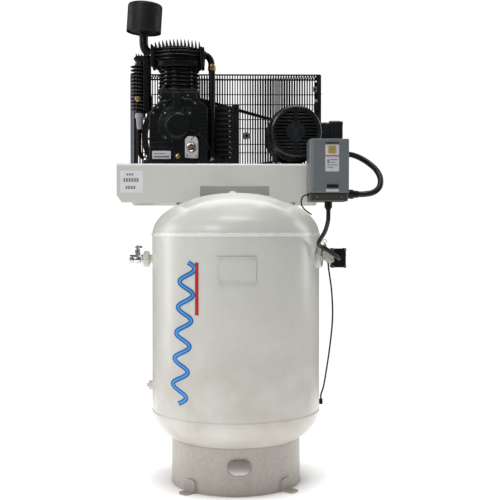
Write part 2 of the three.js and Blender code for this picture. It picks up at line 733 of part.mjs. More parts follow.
// A drum with rows of air slots that leave a middle disc and an upright bar plain.
function fanCover() {
  const [front, back, radius] = [-170, MOTOR_FRONT - GAP, 92];
  const inner = radius - 3;
  const drum = turnedY(
    [
      [0, front], [radius - 8, front], [radius, front + 8], [radius, back],
      [inner, back], [inner, front + 9], [radius - 10, front + 3], [0, front + 3],
    ],
    [MOTOR_X, MOTOR_Z],
    28,
  );
  const slots = [];
  for (let row = -5; row <= 6; row++) {
    const z = MOTOR_Z - 4 + row * 11.5;
    const reach = Math.sqrt(Math.max(72 ** 2 - (z - MOTOR_Z) ** 2, 0));
    const plain = Math.sqrt(Math.max(34 ** 2 - (z - MOTOR_Z) ** 2, 36));
    for (const side of [-1, 1]) {
      const ends = [MOTOR_X + side * plain, MOTOR_X + side * reach].sort((a, b) => a - b);
      if (reach - plain > 8) slots.push(block(ends, [front - 2, front + 6], [z - 2.4, z + 2.4]));
    }
  }
  return cut(drum, ...slots);
}

const motorPulley = () => turnedY(groovedRim(PULLEY_RADIUS, SHAFT_RADIUS + 0.4), [MOTOR_X, MOTOR_Z], 20);

const CONDUIT_LID = { x0: 335, x1: 382, y0: -90, y1: 30, z0: 1215, z1: 1307 };

function conduitBox() {
  const { x0, x1, y0, y1, z0, z1 } = CONDUIT_LID;
  const base = block([MOTOR_X + MOTOR_RADIUS + GAP, x0 + 1], [y0 + 6, y1 - 6], [z0 + 2, z1 - 5]);
  return base.add(block([x0, x1], [y0, y1], [z0, z1]));
}

// ---------------------------------------------------------------- belts
// The outline of a band drawn tight round two circles, by its two outer tangents.
function bandOutline(big, small) {
  const [dx, dz] = [MOTOR_X - PUMP_X, MOTOR_Z - CRANK_Z];
  const heading = Math.atan2(dz, dx);
  const spread = Math.acos((big - small) / Math.hypot(dx, dz));
  const arc = (cx, cz, r, from, to, steps) =>
    Array.from({ length: steps + 1 }, (_, i) => {
      const turn = from + ((to - from) * i) / steps;
      return [cx + r * Math.cos(turn), cz + r * Math.sin(turn)];
    });
  return [
    ...arc(PUMP_X, CRANK_Z, big, heading + spread, heading + 2 * Math.PI - spread, 28),
    ...arc(MOTOR_X, MOTOR_Z, small, heading - spread, heading + spread, 14),
  ];
}

const vBelt = (y) =>
  plateXZ(bandOutline(FLYWHEEL_RADIUS - 0.5, PULLEY_RADIUS - 0.5), y - 6, y + 6, [
    bandOutline(FLYWHEEL_RADIUS - 9, PULLEY_RADIUS - 9),
  ]);

// ---------------------------------------------------------------- belt guard
function guardMesh() {
  const x = [GUARD_LEFT + GUARD_SHEET + GAP, GUARD_RIGHT - GUARD_SHEET - GAP];
  const front = cut(
    block(x, [GUARD_FRONT, GUARD_FRONT + GUARD_SHEET], [DECK_TOP + GAP, GUARD_TOP]),
    bar("y", [PUMP_X, CRANK_Z], GUARD_FRONT - 5, GUARD_FRONT + 10, 26, 24),
    bar("y", [MOTOR_X, MOTOR_Z], GUARD_FRONT - 5, GUARD_FRONT + 10, 18, 20),
  );
  return join(
    front,
    block(x, [GUARD_FRONT, GUARD_BACK], [GUARD_TOP - GUARD_SHEET, GUARD_TOP]),
    block(x, [GUARD_BACK - GUARD_SHEET, GUARD_BACK], [GUARD_DROP, GUARD_TOP]),
  );
}

// An end panel steps down behind the deck.
function guardPanel(x0) {
  const behind = DECK_HALF_DEPTH + 2;
  const outline = [
    [GUARD_FRONT, DECK_TOP + GAP], [behind, DECK_TOP + GAP], [behind, GUARD_DROP], [GUARD_BACK, GUARD_DROP],
    [GUARD_BACK, GUARD_TOP], [GUARD_FRONT, GUARD_TOP],
  ];
  return plateYZ(outline, x0, x0 + GUARD_SHEET);
}

// ---------------------------------------------------------------- starter
const BUTTON = { x0: 302, x1: 340, z0: 1056, z1: 1067 };

function starterBase() {
  const { x0, x1, y1, z0, z1 } = STARTER;
  const band = z0 + STARTER_BAND - GAP;
  return join(
    block([x0 + 2, x1 - 2], [-305, y1], [z0, band]),
    block([x0 + 2, x1 - 2], [y1 - 3, y1], [z0, z1 - 2]),
    block([x0 + 16, x1 - 60], [y1 - 1, -DECK_HALF_DEPTH - GAP], [1030, 1138]),
  );
}

function starterCover() {
  const { x0, x1, y0, y1, z0, z1 } = STARTER;
  const low = z0 + STARTER_BAND;
  const wall = 2.5;
  const r = 14;
  const outline = (inset) => {
    const back = y1 - 3 - GAP + (inset ? 5 : 0);
    const points = [[x0 + inset, back], [x1 - inset, back], [x1 - inset, y0 + inset]];
    for (let i = 0; i <= 5; i++) {
      const turn = radians(270 - 18 * i);
      points.push([x0 + r + (r - inset) * Math.cos(turn), y0 + r + (r - inset) * Math.sin(turn)]);
    }
    return points;
  };
  const upright = (points, from, to) => {
    const shape = new THREE.Shape(points.map(([x, y]) => new THREE.Vector2(x, y)));
    const prism = new THREE.ExtrudeGeometry(shape, { depth: to - from, bevelEnabled: false });
    return solid(prism.translate(0, 0, from));
  };
  const slot = block([BUTTON.x0 - 1, BUTTON.x1 + 1], [y0 - 2, y0 + 6], [BUTTON.z0 - 1, BUTTON.z1 + 1]);
  return cut(upright(outline(0), low, z1), upright(outline(wall), low + wall, z1 - wall), slot);
}

const contactor = () =>
  join(
    block([270, 350], [-240, STARTER.y1 - 3 - GAP], [1085, 1180]),
    block([280, 340], [-262, -239], [1095, 1165]),
  );

function resetButton() {
  const { x0, x1, z0, z1 } = BUTTON;
  const face = STARTER.y0;
  return join(
    block([x0, x1], [face - BUTTON_PROUD, face + 5], [z0, z1]),
    block([x0 + 8, x1 - 8], [face + 4, face + 14], [z0 + 2, z1 - 2]),
  );
}

// ---------------------------------------------------------------- glands and conduits
const GLAND_Y = -250;
const SIDE_GLAND_Z = 1037;
const BOTTOM_GLAND_X = 314;
const BOTTOM_GLAND_END = 984;
const MOTOR_GLAND = { x: 362, y: -60, z: 1189, end: 392 };

function sideGland() {
  const [base, end] = [STARTER.x1 + GAP, SIDE_GLAND_END];
  const profile = [[0, base], [17, base], [17, 386], [14, 390], [14, 404], [11.5, end], [0, end]];
  return turnedX(profile, [GLAND_Y, SIDE_GLAND_Z], 14);
}

function bottomGland() {
  const [base, end] = [STARTER.z0 - GAP, BOTTOM_GLAND_END];
  const nut = [[14, end + 18], [14, base], [0, base]];
  const profile = [[0, end], [9, end], [11, end + 6], [11, end + 17], ...nut];
  return turnedZ(profile, [BOTTOM_GLAND_X, GLAND_Y], 14);
}

// A right-angle connector under the motor's conduit box.
function motorGland() {
  const { x, y, z, end } = MOTOR_GLAND;
  const neck = bar("z", [x, y], z - 13, CONDUIT_LID.z0 - GAP, 15, 20);
  return neck.add(bar("x", [y, z], x, end, 13, 20));
}

const CONDUIT_MOTOR = [
  [MOTOR_GLAND.end + 0.4, MOTOR_GLAND.y, MOTOR_GLAND.z], [404, MOTOR_GLAND.y, MOTOR_GLAND.z],
  [422, -76, 1184], [444, -112, 1170], [466, -154, 1149],
  [486, -192, 1123], [496, -220, 1091], [489, -240, 1062],
  [468, -248, 1044], [440, GLAND_Y, 1038], [428, GLAND_Y, SIDE_GLAND_Z],
  [SIDE_GLAND_END + 0.4, GLAND_Y, SIDE_GLAND_Z],
];
const CONDUIT_SWITCH = [
  [BOTTOM_GLAND_X, GLAND_Y, BOTTOM_GLAND_END - 0.4], [BOTTOM_GLAND_X, GLAND_Y, 970],
  [313.5, -246, 948], [306, -222, 912], [293, -190, 884],
  [289, -165, 868], [297, -150, 859], [316, -141, 850], [341, -130, 834],
  [362, -109, 819], [371, -87, 813], [371, -76, 812], [371, -66.2, 812],
];
const DRAIN_TUBE = [
  [331, -87, 799.6], [331.5, -87, 785], [336, -82, 755], [345, -66, 700],
  [352, -38, 600], [345, -22, 500], [333, -4, 400], [323, 7, 335],
  radialPoint(DRAIN_ANGLE, DRAIN_STUB, DRAIN_Z + 28),
  radialPoint(DRAIN_ANGLE, DRAIN_STUB, DRAIN_Z + 14 + GAP),
];
const PILOT_LEAD = [
  [245.6, GLAND_Y, 1034], [236, GLAND_Y, 1034.5], [227, GLAND_Y, 1028], [222, GLAND_Y, 1014],
  [224, GLAND_Y, 999], [233, GLAND_Y, 986], [245, GLAND_Y, 976], [257, GLAND_Y, 968],
];

// ---------------------------------------------------------------- assembly
const compressor = new THREE.Group();
const machine = new THREE.Group();
machine.position.set(-CENTRE_X, -CENTRE_Y, 0);
compressor.add(machine);

function add(name, body, { color, roughness, metalness }, parent = machine) {
  const { vertProperties, triVerts } = body.getMesh();
  const geometry = new THREE.BufferGeometry();
  geometry.setAttribute("position", new THREE.BufferAttribute(new Float32Array(vertProperties), 3));
  geometry.setIndex(new THREE.BufferAttribute(new Uint32Array(triVerts), 1));
  const mesh = new THREE.Mesh(geometry, new THREE.MeshStandardMaterial({ color, roughness, metalness }));
  mesh.name = name;
  parent.add(mesh);
}

add("tank_shell", tankShell(), PAINT);
add("base_ring", baseRing(), PAINT);
add("data_plate", dataPlate(), PAINT);
add("deck", deck(), PAINT);
add("deck_saddle", deckSaddle(), PAINT);

add("outlet_bung", outletBung(), PAINT);
add("outlet_valve_body", outletValveBody(), BARE_STEEL);
add("outlet_valve_handle", outletValveHandle(), BARE_STEEL);
add("side_plug", sidePlug(), PAINT);
add("switch_manifold", switchManifold(), GREY_CAST);
add("pressure_switch", pressureSwitch(), BLACK_PLASTIC);
add("safety_valve_body", safetyValveBody(), BRASS);
add("safety_valve_ring", safetyValveRing(), BARE_STEEL);
add("drain_fitting", drainFitting(), BLACK_PLASTIC);

add("crankcase", crankcase(), BLACK_IRON);
add("bearing_cover", bearingCover(), BLACK_IRON);
add("crankshaft", crankshaft(), BARE_STEEL);
add("crank_bearing", crankBearing(), BARE_STEEL);
add("flywheel", flywheel(), BLACK_IRON);
add("first_stage_cylinder", firstCylinder(), BLACK_IRON);
add("first_stage_head", firstHead(), BLACK_IRON);
add("first_stage_piston", piston(FIRST_Y, FIRST_BORE - 0.7, 8), ALUMINIUM);
add("first_stage_rod", rod(FIRST_Y, 8, 14, 12), ALUMINIUM);
add("second_stage_cylinder", secondCylinder(), BLACK_IRON);
add("second_stage_head", secondHead(), BLACK_IRON);
add("second_stage_piston", piston(SECOND_Y, SECOND_BORE - 0.6, 6), ALUMINIUM);
add("second_stage_rod", rod(SECOND_Y, 6, 11, 8), ALUMINIUM);
add("intercooler", intercooler(), BLACK_IRON);
add("intercooler_pipe", intercoolerPipe(), COPPER);
add("relief_fitting", reliefFitting(), BRASS);
add("discharge_tube", dischargeTube(), BLACK_STEEL);
add("aftercooler", aftercooler(), BLACK_STEEL);
add("oil_sight_plate", oilSightPlate(), GREY_CAST);
add("sight_glass", sightGlass(), AMBER);
add("oil_drain_plug", oilDrainPlug(), BRASS);

add("filter_elbow", filterElbow(), BLACK_STEEL);
const filter = new THREE.Group();
filter.position.set(FILTER_X, FILTER_Y, FILTER_FOOT_Z);
filter.rotation.y = radians(FILTER_TILT);
machine.add(filter);
add("filter_element", filterElement(), PAPER, filter);
add("filter_housing", filterHousing(), CHARCOAL, filter);

add("motor_frame", motorFrame(), BLACK_IRON);
add("motor_rotor", motorRotor(), BARE_STEEL);
add("cooling_fan", coolingFan(), BLACK_PLASTIC);
add("fan_cover", fanCover(), BLACK_STEEL);
add("motor_pulley", motorPulley(), BLACK_IRON);
add("conduit_box", conduitBox(), BLACK_STEEL);

GROOVE_Y.forEach((y, i) => add(`v_belt_${i + 1}`, vBelt(y), RUBBER));
add("guard_mesh", guardMesh(), BLACK_STEEL);
add("guard_left_panel", guardPanel(GUARD_LEFT), BLACK_STEEL);
add("guard_right_panel", guardPanel(GUARD_RIGHT - GUARD_SHEET), BLACK_STEEL);

add("starter_base", starterBase(), OLIVE_PAINT);
add("starter_cover", starterCover(), GREY_PAINT);
add("contactor", contactor(), BLACK_PLASTIC);
add("reset_button", resetButton(), BLACK_PLASTIC);
add("side_gland", sideGland(), BLACK_PLASTIC);
add("bottom_gland", bottomGland(), BLACK_PLASTIC);
add("motor_gland", motorGland(), BLACK_PLASTIC);
add("conduit_motor", bent(CONDUIT_MOTOR, 20, 10, 11), RUBBER);
add("conduit_switch", bent(CONDUIT_SWITCH, 15, 10, 12), RUBBER);
add("drain_tube", bent(DRAIN_TUBE, 6, 8, 30), RUBBER);
add("pilot_lead", bent(PILOT_LEAD, 5, 8, 10), RUBBER);

export default compressor;
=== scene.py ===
"""The looks of a vertical two-stage air compressor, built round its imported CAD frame.

Every piece is drawn in millimetres about the tank's axis, the same way as the CAD source, and `at`
carries it into the frame. The viewer's side is -Y.
"""
import math

import bmesh
import bpy
from mathutils import Matrix, Vector


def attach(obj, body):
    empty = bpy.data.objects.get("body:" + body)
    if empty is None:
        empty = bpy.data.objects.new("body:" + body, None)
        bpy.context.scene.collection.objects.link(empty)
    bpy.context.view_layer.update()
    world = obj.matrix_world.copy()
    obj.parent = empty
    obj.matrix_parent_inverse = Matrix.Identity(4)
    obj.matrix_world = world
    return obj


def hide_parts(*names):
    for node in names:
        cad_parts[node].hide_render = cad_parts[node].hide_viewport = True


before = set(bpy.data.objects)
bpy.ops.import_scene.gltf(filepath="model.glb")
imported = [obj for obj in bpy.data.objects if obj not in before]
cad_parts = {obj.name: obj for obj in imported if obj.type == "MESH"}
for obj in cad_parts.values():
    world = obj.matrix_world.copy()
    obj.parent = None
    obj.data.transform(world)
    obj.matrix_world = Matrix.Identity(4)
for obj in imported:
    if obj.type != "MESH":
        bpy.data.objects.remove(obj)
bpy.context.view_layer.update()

TAU = 2 * math.pi
STRAIGHT = Matrix.Identity(4)
SHARP = math.radians(38)  # an edge that turns by more than this is drawn sharp
TANK_R, DOME_RISE = 305.0, 152
LOW_SEAM, HIGH_SEAM = 262, 900
DECK_TOP = 1146.0
FOOT = 1146.3  # where the parts that stand on the deck begin
# The centres of the crankshaft and of the motor's shaft, in x and z, and of the two cylinders, in y.
PUMP = PX, PZ = (-203.0, 1280.0)
MOTOR = MX, MZ = (209.0, 1260.0)
FIRST_Y, SECOND_Y = -75, 42
# How far each fitting is turned about the tank's axis, in degrees from the back.
SKIRT_TURN, SWITCH_TURN, DRAIN_TURN = 3, 74, 92
VALVE_Z, PLUG_Z, DRAIN_Z = 810, 347, 278
# Upright axes, in x and y.
VALVE_STEM, RELIEF, DRAIN_AXIS = (-360, 0), (318, -87), (314.31, 10.98)
MOTOR_GLAND, DISCHARGE, FILTER = (362, -60), (-86, -75), (-326, -100)
# Axes that face the viewer, in x and z.
SWITCH_PORT, SIGHT = (371, 812), (-154, 1203.5)


def at(x, y, z):
    """A point given in millimetres about the tank's axis, in the frame's metres."""
    return ((x - 2.0) * 0.001, (y + 6.5) * 0.001, z * 0.001)


# ------------------------------------------------------------------ camera
camera = bpy.data.objects.new("camera", bpy.data.cameras.new("camera"))
bpy.context.collection.objects.link(camera)
camera.data.lens = 64.7
camera.data.sensor_width = 36.0
camera.location = (-0.002, -3.2935, 0.909)
camera.rotation_euler = (math.radians(90 - 1.15), 0, math.radians(-0.9))
bpy.context.scene.camera = camera

# ------------------------------------------------------------------ materials
MIX_A, MIX_B, MIX_COLOUR = 6, 7, 2


class Finish:
    """A procedural material: a shader, and the few kinds of texture that the finishes share."""

    def __init__(self, name, colour, rough, metallic=0.0, **sockets):
        self.material = bpy.data.materials.new(name)
        self.material.use_nodes = True
        self.tree = self.material.node_tree
        self.shader = self.tree.nodes["Principled BSDF"]
        self.rough = rough
        self.base, self.normal = (*colour, 1), None
        self.put(self.shader, {"Base Color": self.base, "Roughness": rough, "Metallic": metallic})
        self.put(self.shader, {socket.replace("_", " "): value for socket, value in sockets.items()})
        self.place = self.node("TexCoord", {}, "Object")

    def put(self, node, inputs):
        """Sets inputs of a node. Each is a value, or another node's output to link."""
        for name, value in inputs.items():
            if isinstance(value, bpy.types.NodeSocket):
                self.tree.links.new(value, node.inputs[name])
            else:
                node.inputs[name].default_value = value
        return self

    def node(self, kind, inputs, output, **settings):
        made = self.tree.nodes.new("ShaderNode" + kind)
        for key, value in settings.items():
            setattr(made, key, value)
        self.put(made, inputs)
        return made.outputs[output]

    def noise(self, scale, detail=3.0, stretch=None):
        place = self.place
        if stretch:
            place = self.node("Mapping", {"Vector": place, "Scale": stretch}, "Vector")
        inputs = {"Vector": place, "Scale": scale, "Detail": detail, "Roughness": 0.55}
        return self.node("TexNoise", inputs, "Fac")

    def ramp(self, value, low, high, to_low=0.0, to_high=1.0):
        ends = {"From Min": low, "From Max": high, "To Min": to_low, "To Max": to_high}
        return self.node("MapRange", {"Value": value, **ends}, "Result")

    def join(self, a, b, operation="MULTIPLY"):
        return self.node("Math", {0: a, 1: b}, "Value", operation=operation)

    def mix(self, amount, colour):
        """Lays another colour over the base by amount, a value from 0 to 1."""
        inputs = {"Factor": amount, MIX_A: self.base, MIX_B: (*colour, 1)}
        self.base = self.node("Mix", inputs, MIX_COLOUR, data_type="RGBA")
        return self.put(self.shader, {"Base Color": self.base})

    def mottle(self, scale, colour, strength=1.0, low=0.35, high=0.7, **kind):
        return self.mix(self.ramp(self.noise(scale, 4.0, **kind), low, high, 0.0, strength), colour)

    def uneven(self, scale, spread, **kind):
        """Roughness that wanders round its own value."""
        low, high = max(self.rough - spread, 0.02), self.rough + spread
        wander = self.ramp(self.noise(scale, 4.0, **kind), 0.3, 0.7, low, high)
        return self.put(self.shader, {"Roughness": wander})

    def bump(self, scale, depth, detail=2.0, **kind):
        inputs = {"Height": self.noise(scale, detail, **kind), "Distance": depth}
        if self.normal:
            inputs["Normal"] = self.normal
        self.normal = self.node("Bump", inputs, "Normal")
        return self.put(self.shader, {"Normal": self.normal})

    def edges(self, colour, strength):
        """Wear and a painted highlight on convex edges, broken up by a noise."""
        worn = self.ramp(self.node("NewGeometry", {}, "Pointiness"), 0.53, 0.62, 0.0, strength)
        return self.mix(self.join(worn, self.ramp(self.noise(60.0, 4.0), 0.35, 0.6, 0.25, 1.0)), colour)

    def height(self, low, high, colour, strength, scale=9.0):
        """A tint that fades in between two heights, in metres, with a cloudy border."""
        fade = self.ramp(self.node("SeparateXYZ", {"Vector": self.place}, "Z"), low, high, 0.0, strength)
        return self.mix(self.join(fade, self.ramp(self.noise(scale, 5.0), 0.3, 0.65, 0.45, 1.0)), colour)

    def glow(self, steps):
        """Emission that grows in steps, each over a span of distance from the object's origin."""
        span = self.node("VectorMath", {0: self.place}, "Value", operation="LENGTH")
        total, *parts = [self.ramp(span, start, end, 0.0, amount) for start, end, amount in steps]
        for part in parts:
            total = self.join(total, part, "ADD")
        return self.put(self.shader, {"Emission Strength": total})


def tint(colour, factor, lift=0.0, most=9.0):
    """A colour times factor, plus lift, with no channel over most."""
    return tuple(min(c * factor + lift, most) for c in colour)


def painted(name, colour, rough=0.36):
    made = Finish(name, colour, rough, Coat_Weight=0.25, Coat_Roughness=0.22)
    made.mottle(2.6, tint(colour, 0.93), 0.8).mottle(34.0, tint(colour, 0.88), 0.35, 0.5, 0.75)
    made.mottle(210.0, tint(colour, 1.12, 0, 1), 0.25, 0.58, 0.7)
    return made.uneven(14.0, 0.07).bump(260.0, 0.00022)


def cast(name, colour, rough=0.29, light=(0.10, 0.115, 0.13), specular=0.24):
    made = Finish(name, colour, rough, Specular_IOR_Level=specular)
    # The edge colour: wear, and a painted highlight on convex edges.
    made.mottle(16.0, tint(colour, 1.7), 0.6).mottle(120.0, tint(colour, 0.5), 0.6).edges(light, 0.4)
    return made.uneven(30.0, 0.08).bump(340.0, 0.00022, 4.0).bump(45.0, 0.0004, 2.0)


def metal(name, colour, rough):
    """A bare metal, brushed along z."""
    brushed = {"stretch": (1.0, 1.0, 30.0)}
    made = Finish(name, colour, rough, 1.0)
    made.mottle(40.0, tint(colour, 0.72), 0.7).mottle(160.0, tint(colour, 0.5), 0.3, 0.6, 0.8)
    made.edges(tint(colour, 1.25, 0, 1), 0.4)
    return made.uneven(60.0, 0.1, **brushed).bump(240.0, 0.00012, 3.0, **brushed)


def moulded(name, colour, rough=0.5):
    made = Finish(name, colour, rough, Specular_IOR_Level=0.22)
    made.mottle(12.0, tint(colour, 1.5, 0.004), 0.6).mottle(180.0, tint(colour, 2.4, 0.01), 0.2, 0.62, 0.8)
    return made.edges(tint(colour, 2.5, 0.03), 0.35).uneven(26.0, 0.1).bump(420.0, 0.00018, 2.0)


def film(name, colour, rough, scale, worn, grain=260.0, depth=0.0001):
    """A sticker or stripe: a thin printed film."""
    return Finish(name, colour, rough, Coat_Weight=0.3).mottle(scale, worn).bump(grain, depth)


PAINT = painted("tank_paint", (0.75, 0.75, 0.705)).height(0.9, 0.16, (0.52, 0.48, 0.42), 0.95)
PAINT.mottle(7.0, (0.57, 0.56, 0.52), 0.18, 0.56, 0.72, stretch=(1.0, 1.0, 0.25))
# A lighter paint for the upper weld bead and the deck's front bend: a painted highlight.
HIGHLIGHT_PAINT = painted("painted_highlight", (0.95, 0.95, 0.92), 0.3)
SKIRT = painted("skirt_paint", (0.40, 0.362, 0.32), 0.5)
SKIRT.height(0.12, 0.0, (0.31, 0.275, 0.235), 0.5, 8.0).edges((0.66, 0.64, 0.6), 0.3)
# The saddle's paint is darker than the tank's: painted shade under the deck.
SADDLE_PAINTED_SHADE = painted("saddle_painted_shade", (0.23, 0.23, 0.216), 0.5)
IRON = cast("pump_iron", (0.0042, 0.0054, 0.006))
HEAD_IRON = cast("head_iron", (0.0022, 0.003, 0.003), 0.25)
STEEL_BLACK = cast("black_steel", (0.0036, 0.004, 0.0044))
FIN_IRON = Finish("fin_iron", (0.0028, 0.0033, 0.0035), 0.24, Specular_IOR_Level=0.4)
FIN_IRON.mottle(40.0, (0.005, 0.006, 0.0065), 0.7).edges((0.03, 0.034, 0.038), 0.25)
FIN_IRON.uneven(50.0, 0.06).bump(300.0, 0.00012, 3.0)
# A blacker iron for the intercooler's post and the first head's lower ring: painted shade.
SHADE_IRON = Finish("painted_shade_iron", (0.0016, 0.0019, 0.0021), 0.42, Specular_IOR_Level=0.12)
SHADE_IRON.mottle(20.0, (0.003, 0.0034, 0.0037)).edges((0.02, 0.023, 0.026), 0.3).bump(240.0, 0.0003)
MOTOR_BLACK = cast("motor_black", (0.0034, 0.0042, 0.005), 0.24, (0.16, 0.17, 0.2), 0.5)
GREY_CAST = cast("grey_casting", (0.56, 0.56, 0.55), 0.46, (0.7, 0.7, 0.68))
WIRE = moulded("guard_wire", (0.007, 0.005, 0.005), 0.42)
# A slate grey for the left guard panel only, the right one being black steel: a painted reflection.
PANEL_PAINTED_REFLECTION = moulded("guard_panel_painted_reflection", (0.24, 0.246, 0.312), 0.34)
CHARCOAL = moulded("filter_black", (0.0085, 0.0092, 0.0112))
# Darker towards the drum's bottom: painted shade against the light from the floor below.
CHARCOAL.height(1.66, 1.60, (0.0085, 0.0078, 0.008), 0.6, 18.0)
# The pan under the filter is lighter than the drum: painted light where shade falls beneath it.
PAN = moulded("filter_pan_painted_light", (0.030, 0.0295, 0.030), 0.55)
CUP = moulded("grey_cup", (0.38, 0.38, 0.40), 0.4)
PLASTIC = moulded("black_plastic", (0.006, 0.006, 0.0065), 0.42)
CONDUIT = moulded("conduit_black", (0.014, 0.014, 0.0145), 0.3)
RUBBER = moulded("belt_rubber", (0.010, 0.010, 0.010), 0.62)
# A plain near-black for cores and seals; in the valve's bore and the sight's groove it is painted shade.
DARK = moulded("dark_and_painted_shade", (0.012, 0.012, 0.013), 0.8)
BARE = metal("bare_steel", (0.5, 0.5, 0.49), 0.34)
CHROME = metal("nickel_plate", (0.62, 0.62, 0.61), 0.16)
ALLOY = metal("aluminium_alloy", (0.55, 0.56, 0.56), 0.42)
BRASS = metal("brass", (0.62, 0.45, 0.2), 0.28)
COPPER = metal("dark_copper", (0.022, 0.011, 0.009), 0.34)
ZINC = metal("zinc_plate", (0.62, 0.62, 0.6), 0.3)
DULL = metal("dull_steel", (0.34, 0.34, 0.34), 0.4)
STARTER = painted("starter_grey", (0.170, 0.190, 0.199), 0.38)
OLIVE = painted("starter_olive", (0.046, 0.047, 0.038), 0.5)
PAPER = Finish("filter_paper", (0.45, 0.38, 0.26), 0.9).mottle(30.0, (0.36, 0.3, 0.2)).bump(300.0, 0.0003)
LABEL = film("label_white", (0.68, 0.68, 0.72), 0.45, 40.0, (0.60, 0.60, 0.64), 90.0, 0.00012)
STICKER = film("sticker_white", (0.88, 0.88, 0.89), 0.4, 40.0, (0.82, 0.82, 0.83), 90.0, 0.00012)
INK = Finish("label_grey", (0.20, 0.20, 0.21), 0.5).mottle(160.0, (0.30, 0.30, 0.31)).bump(90.0, 0.0001)
YELLOW = Finish("label_yellow", (0.52, 0.40, 0.035), 0.45)
YELLOW.mottle(60.0, (0.42, 0.31, 0.02)).bump(90.0, 0.0001)
RED = film("stripe_red", (0.55, 0.018, 0.02), 0.35, 30.0, (0.45, 0.012, 0.015))
BLUE = film("stripe_blue", (0.01, 0.13, 0.5), 0.33, 18.0, (0.008, 0.10, 0.42))
PALE_BLUE = film("stripe_pale_blue", (0.10, 0.42, 0.75), 0.33, 18.0, (0.08, 0.36, 0.68))
VINYL = film("stripe_white", (0.66, 0.67, 0.66), 0.35, 24.0, (0.58, 0.58, 0.57))
AMBER = Finish("amber_glass", (0.30, 0.17, 0.07), 0.12, Coat_Weight=0.8, Coat_Roughness=0.05)
AMBER.mottle(60.0, (0.15, 0.07, 0.03)).bump(40.0, 0.0004)


# ------------------------------------------------------------------ geometry
def spread(axis, a, b, h):
    """A point from its place across an axis and its height along it."""
    return {"x": (h, a, b), "y": (a, h, b), "z": (a, b, h)}[axis]


def circle(centre, radius, count, spin=0.0):
    turns = [spin + TAU * i / count for i in range(count)]
    return [(centre[0] + radius * math.cos(t), centre[1] + radius * math.sin(t)) for t in turns]


def hoop(centre, y, radius, count=28):
    """Points round an upright circle that faces the viewer."""
    return [(x, y, z) for x, z in circle(centre, radius, count)]


def grid(across, along):
    return [(a, b) for a in across for b in along]


def walls(a, b, n):
    """The quads between two rings of n points that start at a and b."""
    return [[a + i, a + (i + 1) % n, b + (i + 1) % n, b + i] for i in range(n)]


def caps(n, end):
    """The two end faces of a body of rings of n points, with end points in all."""
    return [list(range(n)), list(range(end - 1, end - n - 1, -1))]


def rounded(x0, x1, z0, z1, r, steps=5):
    """A rectangle with round corners, as an outline."""
    outline = []
    for cx, cz, start in ((x1 - r, z1 - r, 0), (x0 + r, z1 - r, 90), (x0 + r, z0 + r, 180),
            (x1 - r, z0 + r, 270)):
        for i in range(steps + 1):
            turn = math.radians(start + 90 * i / steps)
            outline.append((cx + r * math.cos(turn), cz + r * math.sin(turn)))
    return outline


def about_tank(angle):
    return Matrix.Rotation(math.radians(angle), 4, "Z")


def about(centre, angle):
    """A turn about an axis along y through a place in x and z."""
    place = Matrix.Translation((centre[0], 0, centre[1]))
    return place @ Matrix.Rotation(math.radians(angle), 4, "Y") @ place.inverted()


def smooth_route(points, steps):
    """Points along a centripetal Catmull-Rom curve."""
    p = [Vector(point) for point in points]
    p = [p[0] * 2 - p[1], *p, p[-1] * 2 - p[-2]]
    found = []
    for a, b, c, d in zip(p, p[1:], p[2:], p[3:]):
        t0 = 0.0
        t1 = t0 + max((b - a).length, 1e-6) ** 0.5
        t2 = t1 + max((c - b).length, 1e-6) ** 0.5
        t3 = t2 + max((d - c).length, 1e-6) ** 0.5
        for k in range(steps):
            t = t1 + (t2 - t1) * k / steps
            a1 = a * ((t1 - t) / (t1 - t0)) + b * ((t - t0) / (t1 - t0))
            a2 = b * ((t2 - t) / (t2 - t1)) + c * ((t - t1) / (t2 - t1))
            a3 = c * ((t3 - t) / (t3 - t2)) + d * ((t - t2) / (t3 - t2))
            b1 = a1 * ((t2 - t) / (t2 - t0)) + a2 * ((t - t0) / (t2 - t0))
            b2 = a2 * ((t3 - t) / (t3 - t1)) + a3 * ((t - t1) / (t3 - t1))
            found.append(b1 * ((t2 - t) / (t2 - t1)) + b2 * ((t - t1) / (t2 - t1)))
    return [*found, p[-2]]


